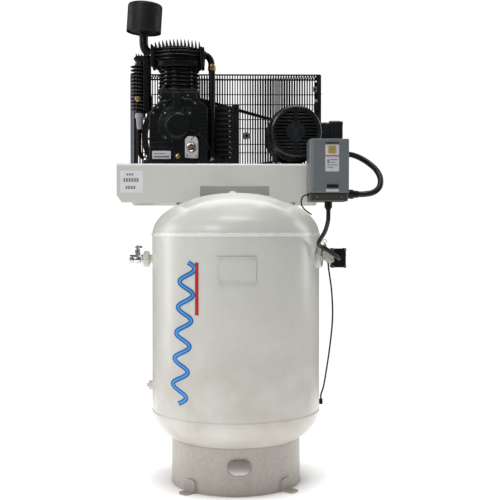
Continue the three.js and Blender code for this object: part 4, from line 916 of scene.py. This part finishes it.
back = Piece("second_stage_head_casting", HEAD_IRON)
back.prism(rounded(-247, -159, 4, 82, 8), "z", 1516, 1544, 0, 2)
for z in (1507, 1541):
    back.prism(rounded(-251, -155, 0, 86, 10), "z", z, z + 11, 0, 2)
for i in range(7):
    back.box((-238 + i * 11.6, -235.4 + i * 11.6), (6, 80), (1550, 1566), 0, 1)
back.bolts("z", grid((-243, -163), (8, 78)), 1551.5, 1, 6)
for z in (1524, 1530, 1536):
    back.box((-250, -156), (2, 84), (z - 1, z + 1), 0, 0.8)
back.make("second_stage_head", slot="black_iron")

cooler = Piece("intercooler_column", FIN_IRON, SHADE_IRON)
profile = [(0, 1337), (20, 1337), (24, 1339), (24, 1343), (21, 1345)]
for i in range(13):
    z = 1346.5 + 12.7 * i
    profile += [(21, z), (33.5, z + 2.4), (36.4, z + 3.2), (37, z + 4.2), (36.4, z + 5.2),
        (33.5, z + 6), (21, z + 8.4)]
cooler.lathe([*profile, (21, 1516), (0, 1516)], "z", (-343, -40), 56)
# The post and the block at its foot are drawn in the blacker iron, slot 1: painted shade.
cooler.prism(rounded(-331, -307, -79, -14, 5), "z", 1341, 1520, 1, 1.5)
cooler.prism([(-367, 1529), (-360, 1524), (-346, 1522), (-340, 1514), (-303.3, 1514), (-303.3, 1540),
    (-356, 1539)], "y", -70, -10, 0, 1.6, 3)
for i in range(6):
    x = -356 + i * 9.4
    cooler.prism([(x - 2.4, 1537), (x + 2.4, 1537), (x - 1.2, 1549 - i * 0.8),
        (x - 2.2, 1549 - i * 0.8)], "y", -66, -14)
cooler.prism(rounded(-331, -303.5, -54, -26, 5), "z", 1340, 1402, 1, 2)
cooler.bolts("z", ((-358, -62), (-358, -18)), 1525.5, 1, 5.5, 4.6)
cooler.make("intercooler", slot="black_iron")

pipe = Piece("intercooler_lower_pipe", COPPER, CUP)
pipe.lathe([(0, 1279), (8.4, 1279), (9.4, 1281), (12.4, 1300), (12.8, 1317), (16, 1320), (17, 1323),
    (17, 1334), (15.6, 1336.6), (0, 1336.6)], "z", (-347, -40), 48, 1)
pipe.lathe([(0, 1323), (17.6, 1323), (18, 1325), (17.6, 1327), (0, 1327)], "z", (-347, -40), 48, 1)
pipe.tube([(-348, -40, 1284), (-348, -40, 1240), (-348, -40, 1204), (-344, -40, 1184), (-330, -40, 1175),
    (-316, -40, 1174), (-304, -40, 1174)], 7, 20, steps=6)
pipe.bar("z", (-348, -40), 1266, 1279, 9.4, 6, 0, 0.8)
pipe.bar("x", (-40, 1174), -316, -304, 10.5, 6, 0, 0.8)
pipe.make("intercooler_pipe", slot="dark_copper")

fitting = Piece("intercooler_relief", BRASS)
fitting.lathe([(0, -104), (6, -104), (7, -103), (7, -96.5), (9, -95.5), (9, -93), (0, -93)],
    "y", (-349, 1381), 32)
fitting.bar("y", (-349, 1381), -94, -84, 11, 6, 0, 0.9)
fitting.bar("y", (-349, 1381), -85, -77.6, 6.4, 24, 0, 0.4)
fitting.make("relief_fitting", slot="brass_fitting")

pipe = Piece("discharge_pipe", STEEL_BLACK, BRASS)
pipe.tube([(-113.5, -75, 1540), (-107, -75, 1539), (-98, -75, 1533), (-90, -75, 1521), (-86.6, -75, 1505),
    (-86, -75, 1430), (-86, -75, 1340), (-86, -75, 1250), (-86, -75, 1178.4)], 11.6, 32, steps=6)
pipe.bar("x", (-75, 1540), -114.5, -106, 15.5, 6, 0, 1.0, 0.3)
pipe.bar("z", DISCHARGE, 1484, 1499, 14.2, 6, 1, 1.2, 0.2)
pipe.lathe([(10, 1500), (13.4, 1500), (12.6, 1505), (11.2, 1508), (10, 1508)], "z", DISCHARGE, 32, 1)
pipe.bar("z", DISCHARGE, 1178.5, 1192, 14.4, 6, 0, 1.2)
pipe.make("discharge_tube", slot="black_steel")

fins = Piece("aftercooler_core", STEEL_BLACK, DARK, ZINC)
fins.prism(rounded(-15, 12, -40, 60, 4), "z", FOOT, 1369, 0, 1.5)
fins.prism(rounded(-73, -12, -40, 60, 5), "z", 1163, 1178, 0, 2)
fins.prism(rounded(-98, -59, -89, -30, 5), "z", 1164, 1178, 0, 2)
fins.prism(rounded(-84, -16, -34, 52, 5), "z", 1176, 1366, 1, 1)
for i in range(10):
    z = 1183 + 18.7 * i
    fins.prism(rounded(-73, -14, -40, 60, 5), "z", z, z + 9, 1, 1.5)
    fins.prism(rounded(-26, -17, -42, -34, 2), "z", z - 6.5, z - 2, 2, 0.8)
    for k in range(3):
        fins.box((-71 + k * 14, -67 + k * 14), (-41, -33), (z - 5, z - 2.6), 0, 0.5)
fins.bolts("y", ((0, 1154), (0, 1362)), -40, -1, 6, 4)
fins.box((-20, 20), (-44, 64), (FOOT, 1151), 0, 1)
fins.make("aftercooler", slot="black_steel")

sight = Piece("oil_sight_casting", GREY_CAST, ZINC, DARK)
sight.prism([(-177, 1169), (-174, 1167), (-136, 1167), (-133, 1170), (-133, 1232), (-141, 1242),
    (-169, 1242), (-177, 1232)], "y", -165, -156, 0, 1.4)
sight.prism([(-160, 1166), (-133, 1166), (-131, 1170), (-131, 1228), (-134, 1232), (-150, 1212),
    (-160, 1207)], "y", -158, -150.4, 0, 1)
sight.lathe([(12, -167), (16, -167), (17.2, -166.2), (17.2, -164), (12, -164)], "y", SIGHT, 48)
# A dark ring round the window's rim: a painted shadow in the groove.
sight.lathe([(15.8, -166.6), (17.4, -166.6), (17.4, -164), (15.8, -164)], "y", SIGHT, 48, 2)
sight.bars("y", ((-170, 1174), (-138, 1174), (-154, 1233)), -167, -164, 3.6, 16, 1, 0.7)
sight.make("oil_sight_plate", slot="grey_casting")

glass = Piece("oil_sight_window", CHROME, AMBER, BRASS, DARK)
glass.lathe([(11.6, -170.4), (13.4, -171.6), (15.4, -170.8), (16, -168), (16, -166), (11.6, -166)],
    "y", SIGHT, 56, 0)
glass.lathe([(10.4, -169.4), (11.8, -169.8), (11.8, -166), (10.4, -166)], "y", SIGHT, 56, 3)
glass.lathe([(0, -169), (5.4, -168.8), (10.8, -167.6), (10.8, -165.4), (0, -165.4)], "y", SIGHT, 56, 1)
glass.lathe([(0, -170.2), (2.6, -170), (3.4, -169), (3.4, -168.4), (0, -168.4)], "y", SIGHT, 28, 2)
glass.lathe([(0, -165.6), (8.6, -165.6), (8.6, -158), (0, -158)], "y", SIGHT, 32, 1)
glass.make("sight_glass", slot="amber_glass")

lead = Piece("oil_switch_lead", PLASTIC)
lead.tube([(-146, -164, 1241), (-140, -162, 1248), (-128, -160, 1247), (-113, -158, 1236),
    (-98, -150, 1212), (-90, -120, 1196), (-86, -99, 1190)], 2.4, 10, steps=6)
lead.bar("z", (-147, -161), 1236, 1245, 4.5, 16, 0, 0.8)
lead.make()

plug = Piece("oil_drain_screw", BRASS)
plug.bar("y", (PX, 1173), -156, -150.3, 9.4, 6, 0, 1.0, 0.3)
plug.lathe([(0, -161), (5, -161), (6.6, -159.8), (6.6, -155), (0, -155)], "y", (PX, 1173), 28)
plug.make("oil_drain_plug", slot="brass_fitting")


# ------------------------------------------------------------------ intake filter
elbow = Piece("filter_pipe", STEEL_BLACK)
elbow.tube([(-303.6, -100, 1541), (-313, -100, 1546.5), (-321.5, -100, 1557), (-325.4, -100, 1572),
    (-326, -100, 1590), (-326, -100, 1611.5)], 15.3, 32, steps=6)
elbow.lathe([(14, 1600), (16.4, 1600), (16.9, 1602), (16.9, 1606), (16.4, 1608), (14, 1608)],
    "z", FILTER, 40)
elbow.make("filter_elbow", slot="black_steel")
lean = Matrix.Translation((*FILTER, 1612)) @ Matrix.Rotation(math.radians(3.6), 4, "Y")
inner = Piece("filter_core", PAN, PAPER, STEEL_BLACK)
inner.turn = lean
inner.lathe([(0, 1.6), (15.6, 1.6), (17, 3), (17, 7), (20, 8), (50, 6.6), (53.5, 7), (54, 9), (53, 18),
    (0, 18)], "z", (0, 0), 64)
pleats = [place for pair in zip(circle((0, 0), 47, 96)[::2], circle((0, 0), 53, 96)[1::2])
    for place in pair]
inner.prism(pleats, "z", 18, 80, 1)
inner.bar("z", (0, 0), 1.6, 9, 19, 6, 2, 1)
inner.make("filter_element", slot="filter_paper")
drum = Piece("filter_drum", CHARCOAL, STEEL_BLACK)
drum.turn = lean
drum.lathe([(57.5, 2), (60, 1.6), (61.4, 3), (61.4, 6), (60.8, 8), (60.8, 90), (60.4, 94), (59, 97.6),
    (56, 100.4), (50, 102.6), (36, 105.4), (20, 107.2), (6, 107.9), (0, 108), (0, 105.5), (30, 104),
    (54, 99.5), (58, 93), (58, 12)], "z", (0, 0), 96)
drum.lathe([(0, 107), (7, 107.4), (6.5, 108.6), (0, 108.8)], "z", (0, 0), 24, 1)
drum.make("filter_housing", slot="charcoal_paint")


# ------------------------------------------------------------------ motor
motor = Piece("motor_housing", MOTOR_BLACK, ZINC)
motor.lathe([(12.6, -108), (95, -108), (97, -106.5), (98, -104), (98, -92), (96, -90), (91, -89), (91, 46),
    (96, 48), (101, 51), (102, 53), (102, 61), (100, 64), (90, 67), (74, 76), (70, 78), (30, 78),
    (12.6, 78), (12.6, 66), (70, 64), (86, 56), (86, -98), (12.6, -98)], "y", MOTOR, 96)
for i in range(40):
    angle = i * 9
    if 150 < angle < 210 or 78 < angle < 102:
        continue
    motor.turn = about(MOTOR, angle)
    motor.prism([(MX - 1.7, MZ + 90), (MX + 1.7, MZ + 90), (MX + 1.0, MZ + 97.6),
        (MX - 1.0, MZ + 97.6)], "y", -90, 49)
for angle in (45, 135, 225, 315):
    motor.turn = about(MOTOR, angle)
    motor.prism([(MX - 9, MZ + 92), (MX + 9, MZ + 92), (MX + 7, MZ + 101.5), (MX - 7, MZ + 101.5)],
        "y", 44, 66, 0, 2)
    motor.bolt("y", (MX, MZ + 95), 65.5, 1, 5, 4, 1, False)
motor.turn = STRAIGHT
for side in (-1, 1):
    x = MX + side * 66
    motor.prism(rounded(x - 20, x + 20, -70, 50, 5), "z", FOOT, 1154.3, 0, 1.6)
    motor.prism([(x - 8 * side, 1150), (x + 9 * side, 1150), (x + 9 * side, 1186), (x - 4 * side, 1200),
        (x - 12 * side, 1190)], "y", -60, 40, 0, 2)
    motor.bolts("z", grid([x + 6 * side], (-58, 38)), 1154, 1, 7, 5, 1)
motor.box((MX - 9, MX + 9), (-22, 2), (MZ + 90, MZ + 99), 0, 2)
motor.tube(hoop((MX, MZ + 104), -10, 7.6), 2.8, 12, closed=True)
motor.make("motor_frame", slot="black_iron")

fan = Piece("motor_fan", PLASTIC, body="motor_shaft")
fan.lathe([(12.4, -150), (20, -150), (22, -148), (22, -129), (26, -127), (82, -126), (82, -123),
    (12.4, -122)], "y", MOTOR, 64)
for i in range(8):
    fan.turn = about(MOTOR, i * 45)
    fan.prism([(MX + 20, -127), (MX + 80, -127), (MX + 80, -142), (MX + 70, -148), (MX + 24, -148)],
        "z", MZ - 1.4, MZ + 1.4, 0, 0.6)
fan.turn = STRAIGHT
fan.make("cooling_fan", slot="black_plastic")

shroud = Piece("motor_fan_cover", MOTOR_BLACK)
shroud.lathe([(0, -170), (76, -170), (84, -168.6), (89, -165), (91.4, -160), (92, -155), (92, -110),
    (93.4, -109.4), (93.4, -108.3), (89.4, -108.3), (89.4, -155), (88, -160), (83, -165.4), (75, -167.4),
    (0, -167.4)], "y", MOTOR, 96)
slots = Piece("fan_slot_tool")
for row in range(-6, 7):
    z = MZ - 4 + row * 11.5
    reach = math.sqrt(max(74 ** 2 - (z - MZ) ** 2, 0))
    plain = math.sqrt(max(33 ** 2 - (z - MZ) ** 2, 30))
    for side in (-1, 1):
        if reach - plain > 9:
            ends = sorted((MX + side * plain, MX + side * reach))
            slots.prism(rounded(*ends, z - 2.9, z + 2.9, 2.8, 4), "y", -174, -160)
carve(shroud.make("fan_cover", slot="black_steel"), slots)

dress = Piece("motor_cover_trim", MOTOR_BLACK, ZINC)
for angle in (48, 132, 228, 312):
    dress.turn = about(MOTOR, angle)
    dress.bar("z", (MX, -116), MZ + 90, MZ + 94, 3.6, 16, 1, 0.6)
    dress.box((MX - 5, MX + 5), (-122, -109), (MZ + 90, MZ + 92.6), 0, 0.8)
dress.turn = STRAIGHT
dress.make(slot="black_steel")

junction = Piece("motor_conduit_box", MOTOR_BLACK, ZINC)
junction.prism(rounded(-84, 24, 1217, 1302, 8), "x", 307.3, 336, 0, 2)
junction.prism(rounded(-90, 30, 1215, 1307, 9), "x", 335, 374, 0, 2.4, 3)
junction.prism(rounded(-89, 29, 1216, 1306, 8), "x", 374.8, 382, 0, 2.4, 3)
junction.bars("x", grid((-80, 20), (1225, 1297)), 381, 384, 3.6, 16, 1, 0.6)
junction.make("conduit_box", slot="black_steel")


def sheave(name, node, centre, radius, inner, hub, bore, spokes, body):
    """A belt wheel with two V grooves, a hub, and spokes or a plain web."""
    profile = [(inner, 192), (radius - 1, 192), (radius, 193)]
    for y in (208, 228):
        profile += [(radius, y - 8), (radius - 0.8, y - 7.4), (radius - 11, y - 4.6),
            (radius - 11, y + 4.6), (radius - 0.8, y + 7.4), (radius, y + 8)]
    profile += [(radius, 241), (radius - 1, 242), (inner, 242), (inner + 1, 217)]
    made = Piece(name, IRON, body=body)
    made.lathe(profile, "y", centre, 96)
    if hub:
        made.lathe([(bore, 190), (hub - 2, 190), (hub, 192), (hub, 242), (hub - 2, 244), (bore, 244)],
            "y", centre, 48)
    x, z = centre
    for i in range(spokes):
        made.turn = about(centre, i * 360 / spokes)
        made.prism([(x + hub - 3, z - 15), (x + (hub + inner) / 2, z - 9), (x + inner + 3, z - 13),
            (x + inner + 3, z + 13), (x + (hub + inner) / 2, z + 9), (x + hub - 3, z + 15)],
            "y", 212, 222, 0, 2.5)
    made.turn = STRAIGHT
    return made.make(node, slot="black_iron")


sheave("pump_flywheel", "flywheel", PUMP, 162, 142, 32, 16.4, 5, "crank")
sheave("motor_belt_wheel", "motor_pulley", MOTOR, 70, 12.4, 0, 12.4, 0, "motor_shaft")


def band(radius_a, radius_b, steps_a=64, steps_b=32):
    """A belt's run round both wheels, by its two outer tangents."""
    dx, dz = MX - PX, MZ - PZ
    heading = math.atan2(dz, dx)
    open_angle = math.acos((radius_a - radius_b) / math.hypot(dx, dz))
    arcs = [
        (PUMP, radius_a, heading + open_angle, heading + TAU - open_angle, steps_a),
        (MOTOR, radius_b, heading - open_angle, heading + open_angle, steps_b),
    ]
    points = []
    for (cx, cz), r, start, end, steps in arcs:
        turns = [start + (end - start) * i / steps for i in range(steps + 1)]
        points += [(cx + r * math.cos(turn), cz + r * math.sin(turn)) for turn in turns]
    return points


for number, y in enumerate((208, 228), 1):
    belt = Piece(f"drive_belt_{number}", RUBBER)
    loops = []
    for depth, half in ((0.3, 6.0), (1.4, 6.4), (9, 4.2), (9, -4.2), (1.4, -6.4), (0.3, -6.0)):
        loops.append([(x, y + half, z) for x, z in band(162 - depth, 70 - depth)])
    many = len(loops[0])
    faces = [face for r in range(6) for face in walls(r * many, (r + 1) % 6 * many, many)]
    belt.add([point for loop in loops for point in loop], faces)
    belt.make(f"v_belt_{number}", slot="black_rubber")


# ------------------------------------------------------------------ belt guard
LEFT, RIGHT, FRONT, BACK, TOP, DROP = -403, 327, 150, 262, 1513, 1102
guard = Piece("guard_mesh_wires", WIRE)
PITCH = 9.85
UPRIGHTS = [LEFT + 6 + PITCH * i for i in range(int((RIGHT - LEFT - 10) / PITCH) + 1)]
CROSS_PITCH = 95.0
WIRE_R, CROSS_R = 2.05, 1.9


def gaps(openings, axis, value):
    """The spans that round openings cut out of a wire that lies at value on an axis, 0 for x or 1 for z."""
    spans = []
    for *centre, r in openings:
        off, middle = value - centre[axis], centre[1 - axis]
        if abs(off) < r:
            half = math.sqrt(r * r - off ** 2)
            spans.append((middle - half, middle + half))
    return sorted(spans)


def wire(axis, place, radius, start, end, spans):
    """A straight wire that is left out over spans."""
    for low, high in spans:
        guard.bar(axis, place, start, low, radius, 6)
        start = high
    guard.bar(axis, place, start, end, radius, 6)


def wires(y, floor, first, openings):
    """A wire panel across the guard: uprights, and crosswires just behind them, open round the shafts."""
    for x in UPRIGHTS:
        wire("z", (x, y), WIRE_R, floor, TOP - 2, gaps(openings, 0, x))
    z = first
    while z > floor:
        wire("x", (y + 3.4, z), CROSS_R, LEFT + 4, RIGHT - 4, gaps(openings, 1, z))
        z -= CROSS_PITCH
    for *centre, r in openings:
        guard.tube(hoop(centre, y + 1, r, 40), 2.0, 8, closed=True)


wires(FRONT + 1.5, 1147.5, 1435, [(*PUMP, 27), (*MOTOR, 19)])
wires(BACK - 4, DROP + 2, 1412, [])
guard.bars("y", grid(UPRIGHTS, [TOP - 2.4]), FRONT + 1, BACK - 2, WIRE_R, 6)
rails = ((FRONT + 3, TOP - 3.2), (FRONT + 3, 1149.8), (BACK - 3.4, DROP + 3))
guard.bars("x", rails, LEFT + 4, RIGHT - 4, 3.0, 10)
guard.box((LEFT + 4, RIGHT - 4), (BACK - 7, BACK - 1.6), (TOP - 7, TOP - 1), 0, 1.0)
guard.make("guard_mesh", slot="black_steel")

# The left panel takes the slate grey, a painted reflection; the right one stays black.
for name, x, way, finish in (("guard_left", LEFT, 1, PANEL_PAINTED_REFLECTION), ("guard_right", RIGHT, -1, STEEL_BLACK)):
    x0, x1 = sorted((x, x + 2.4 * way))
    side = Piece(f"{name}_sheet", finish, ZINC)
    side.prism([(FRONT, 1147), (187, 1147), (187, DROP), (BACK, DROP), (BACK, TOP - 12),
        (BACK - 4, TOP - 3.5), (BACK - 12, TOP), (FRONT + 12, TOP), (FRONT + 3.5, TOP - 3.5),
        (FRONT, TOP - 12)], "x", x0, x1, 0, 0.7)
    f0, f1 = sorted((x, x + 13 * way))
    corner = [(x, 1147), (x + 13 * way, 1147), (x + 13 * way, TOP - 8),
        (x + 4 * way, TOP - 8), (x, TOP - 16)]
    side.prism(corner, "y", FRONT, FRONT + 2.2, 0, 0.7)
    side.box((f0, f1), (BACK - 2.2, BACK), (DROP, TOP - 12), 0, 0.7)
    side.box((f0, f1), (FRONT + 10, BACK - 10), (TOP - 2.2, TOP), 0, 0.7)
    side.bars("x", grid((FRONT + 22, BACK - 22), [1440]), *sorted((x - 2.4 * way, x + 1 * way)),
        5, 20, 1, 0.6)
    side.make(f"{name}_panel", slot="black_steel")

clips = Piece("guard_clips", ZINC, STEEL_BLACK)
clips.prism(rounded(296, 310, 1444, 1466, 3), "y", FRONT - 2.4, FRONT - 0.8, 0, 0.5)
clips.prism(rounded(298, 307, 1449, 1461, 2), "y", FRONT - 6, FRONT - 2, 1, 1.4)
clips.bolt("y", (307, 1411), FRONT - 0.5, -1, 5, 4, 0)
clips.prism(rounded(298, 318, 1370, 1400, 4), "y", FRONT - 7, FRONT - 0.8, 1, 1.6)
clips.prism([(26, 1264), (46, 1264), (58, 1270), (58, 1284), (38, 1292), (26, 1286)],
    "y", FRONT - 2.4, FRONT - 0.8, 0, 0.5)
clips.bolt("y", (42, 1277), FRONT - 2.4, -1, 4, 5, 1)
clips.make()


# ------------------------------------------------------------------ starter
box = Piece("starter_enclosure", STARTER)
outer, inner_wall = [], []
for inset, found in ((0, outer), (2.5, inner_wall)):
    found += [(244 + inset, -193.3), (377 - inset, -193.3), (377 - inset, -315 + inset + 6),
        (375.6 - inset, -315 + inset + 2), (371 - inset, -315 + inset)]
    for i in range(11):
        turn = math.radians(270 - 9 * i)
        found.append((262 + (18 - inset) * math.cos(turn), -297 + (18 - inset) * math.sin(turn)))
box.prism(outer, "z", 1040, 1219, 0, 3, 4)
cutters = Piece("starter_slot_tool")
cutters.prism(rounded(301, 341, 1055, 1068, 2, 3), "y", -320, -296)
cutters.prism([(x, y + 0.3) for x, y in inner_wall], "z", 1042.5, 1216.5)
carve(box.make("starter_cover", slot="starter_grey"), cutters)

marks = Piece("starter_labels", STARTER, LABEL, YELLOW, RED, INK, PLASTIC)
marks.prism(rounded(297, 343, 1203, 1206.4, 1.6), "y", -316, -314.8, 5, 0.4)
marks.prism(rounded(297, 343, 1110, 1199, 2), "y", -315.7, -314.9, 1)
marks.prism(rounded(307, 333, 1170, 1196, 1.5), "y", -316.1, -315.5, 2)
marks.box((316, 324), (-316.3, -316.0), (1179, 1187), 4)
for x in (311, 327.4):
    marks.prism([(x, 1174), (x + 1.6, 1174), (x + 1.6, 1192), (x, 1192)], "y", -316.25, -316.0, 4)
marks.box((297, 343), (-316.1, -315.5), (1160, 1163.4), 3)
for i, (a, b) in enumerate(((314, 337), (314, 330), (304, 337), (304, 324))):
    z = 1149 - i * 8.6
    marks.box((a, b), (-316.0, -315.5), (z - 1.4, z + 1.4), 4)
marks.prism(rounded(303, 311, 1137, 1150, 1), "y", -316.2, -315.6, 4)
marks.prism(rounded(299, 343, 1043, 1052, 2), "y", -315.8, -314.9, 1)
marks.prism(rounded(298, 344, 1053.5, 1070, 2.4), "y", -316.4, -314.4, 0, 0.5)
marks.bars("y", ((256, 1050), (369, 1050), (369, 1210)), -316.0, -313, 2.2, 16, 0, 0.5)
marks.make(slot="starter_grey")

tray = Piece("starter_tray", OLIVE, ZINC, PLASTIC)
tray.prism(rounded(246, 375, -305, -190, 8), "z", 1012, 1039.6, 0, 3.5, 3)
tray.prism(rounded(246, 375, 1014, 1217, 4), "y", -193, -190, 0, 0.8)
for x in (262, 300):
    tray.prism(rounded(x - 10, x + 10, 1030, 1138, 3), "y", -191, -185.3, 0, 0.8)
tray.box((252, 312), (-190.6, -185.3), (1060, 1108), 0, 0.8)
tray.bar("x", (-250, 1034), 243, 247, 6.5, 24, 2, 0.8)
tray.bars("y", ((272, 1026), (352, 1026)), -306.4, -304, 2.6, 16, 1, 0.5)
tray.make("starter_base", slot="starter_olive")

inside = Piece("starter_contactor", PLASTIC, ZINC)
inside.box((270, 350), (-240, -193.4), (1085, 1180), 0, 2)
inside.box((280, 340), (-262, -239), (1095, 1165), 0, 2)
inside.bars("y", grid((286, 310, 334), (1090, 1175)), -243, -239, 4, 16, 1, 0.5)
inside.make("contactor", slot="black_plastic")

press = Piece("starter_reset", PLASTIC, body="reset_button")
press.prism(rounded(302, 340, 1056, 1067, 1.8), "y", -318, -310, 0, 1.0)
for i in range(5):
    press.box((309 + i * 5.4, 310.8 + i * 5.4), (-318.5, -317.4), (1058, 1065), 0, 0.3)
press.box((310, 332), (-311, -301), (1058, 1065), 0, 0.4)
press.make("reset_button", slot="black_plastic")


def gland(name, node, axis, place, base, way, end, sizes):
    """A cable gland: a lock nut, a ribbed cap and a tapered relief that grips the conduit."""
    made = Piece(name, PLASTIC)
    nut, cap, tip = sizes
    made.bar(axis, place, *sorted((base, base + 9 * way)), nut, 6, 0, 1.0)
    low, high = sorted((base + 8 * way, base + 22 * way))
    made.bar(axis, place, low, high, cap, 32, 0, 1.2)
    made.bars(axis, circle(place, cap, 12), low + 2, high - 2, 1.2, 6)
    relief = [(tip - 2.6, base + 21 * way), (cap - 2, base + 21 * way), (cap - 2.6, base + 24 * way),
        (tip + 0.6, end - 2 * way), (tip, end), (tip - 2.6, end)]
    made.lathe(relief, axis, place, 40)
    return made.make(node, slot="black_plastic")


gland("starter_side_gland", "side_gland", "x", (-250, 1037), 377.3, 1, 416, (17, 15, 11.4))
gland("starter_bottom_gland", "bottom_gland", "z", (314, -250), 1011.7, -1, 984, (13.6, 12, 8.8))
angle_piece = Piece("motor_angle_gland", PLASTIC, ZINC)
angle_piece.bar("z", MOTOR_GLAND, 1206, 1214.7, 16, 6, 0, 1.2)
angle_piece.bar("z", MOTOR_GLAND, 1178, 1208, 14, 32, 0, 1.4)
angle_piece.tube([(362, -60, 1200), (362, -60, 1192), (365, -60, 1188.6), (372, -60, 1188.6),
    (380, -60, 1189)], 13.4, 24, steps=4)
angle_piece.bar("x", (-60, 1189), 377, 392, 14.4, 6, 0, 1.2)
angle_piece.bar("z", MOTOR_GLAND, 1174.6, 1179, 9, 24, 1, 0.8)
angle_piece.make("motor_gland", slot="black_plastic")


# ------------------------------------------------------------------ CAD bodies that stay as they are
KEPT = {
    BARE: ("crankshaft", "crank_bearing", "motor_rotor"),
    ALLOY: ("first_stage_piston", "first_stage_rod", "second_stage_piston", "second_stage_rod"),
}
for finish, names in KEPT.items():
    for material_slot in [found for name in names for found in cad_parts[name].material_slots]:
        material_slot.link = "OBJECT"
        material_slot.material = finish.material

# ------------------------------------------------------------------ floor and light
floor = bpy.data.objects.new("floor", bpy.data.meshes.new("floor"))
floor.data.from_pydata([(-1.5, -1.4, 0), (1.5, -1.4, 0), (1.5, 1.5, 0), (-1.5, 1.5, 0)], [], [[0, 1, 2, 3]])
FLOOR = Finish("floor_pale", (0.86, 0.86, 0.86), 0.6, Emission_Color=(1, 1, 1, 1))
FLOOR.mottle(1.5, (0.83, 0.83, 0.83)).bump(60.0, 0.0002)
FLOOR.glow(((0.225, 0.25, 0.24), (0.25, 0.42, 0.5), (0.42, 1.2, 0.36)))
floor.data.materials.append(FLOOR.material)
bpy.context.collection.objects.link(floor)

scene = bpy.context.scene
scene.view_settings.view_transform = "Standard"
world = bpy.data.worlds.new("studio")
world.use_nodes = True
sky = world.node_tree.nodes["Background"]
sky.inputs["Color"].default_value = (1, 1, 1, 1)
ray = world.node_tree.nodes.new("ShaderNodeLightPath")
glow = world.node_tree.nodes.new("ShaderNodeMapRange")
glow.inputs["To Min"].default_value = 0.15
glow.inputs["To Max"].default_value = 1.05
world.node_tree.links.new(ray.outputs["Is Camera Ray"], glow.inputs["Value"])
world.node_tree.links.new(glow.outputs["Result"], sky.inputs["Strength"])
scene.world = world


def lamp(name, place, target, size, power):
    light = bpy.data.lights.new(name, "AREA")
    light.shape = "RECTANGLE"
    light.size, light.size_y = size
    light.energy = power
    made = bpy.data.objects.new(name, light)
    made.location = place
    made.rotation_euler = (Vector(target) - Vector(place)).to_track_quat("-Z", "Y").to_euler()
    bpy.context.collection.objects.link(made)


lamp("key", (-2.1, -3.1, 3.1), (0, -0.1, 1.0), (1.4, 1.4), 50)
lamp("high", (0.0, -1.2, 5.2), (0, 0, 1.1), (2.4, 0.8), 72)
lamp("front_left", (-2.6, -3.4, 1.0), (0, 0, 0.95), (1.6, 1.4), 5)
lamp("front_right", (2.9, -3.0, 1.0), (0, 0, 0.95), (1.2, 1.4), 3)
lamp("top", (0.6, 1.2, 4.6), (0, 0, 1.2), (1.6, 1.6), 26)
lamp("rim_right", (3.0, 0.9, 1.9), (0, 0, 1.0), (0.9, 3.0), 36)
lamp("rim_left", (-3.0, 0.5, 1.6), (0, 0, 0.9), (0.9, 3.0), 36)
lamp("under_deck", (0, 0, 1.136), (0, 0, 0.9), (0.6, 0.3), 0.9)
lamp("skirt_inside", (0, -0.05, 0.09), (0, 0.4, 0.09), (0.1, 0.1), 0.28)
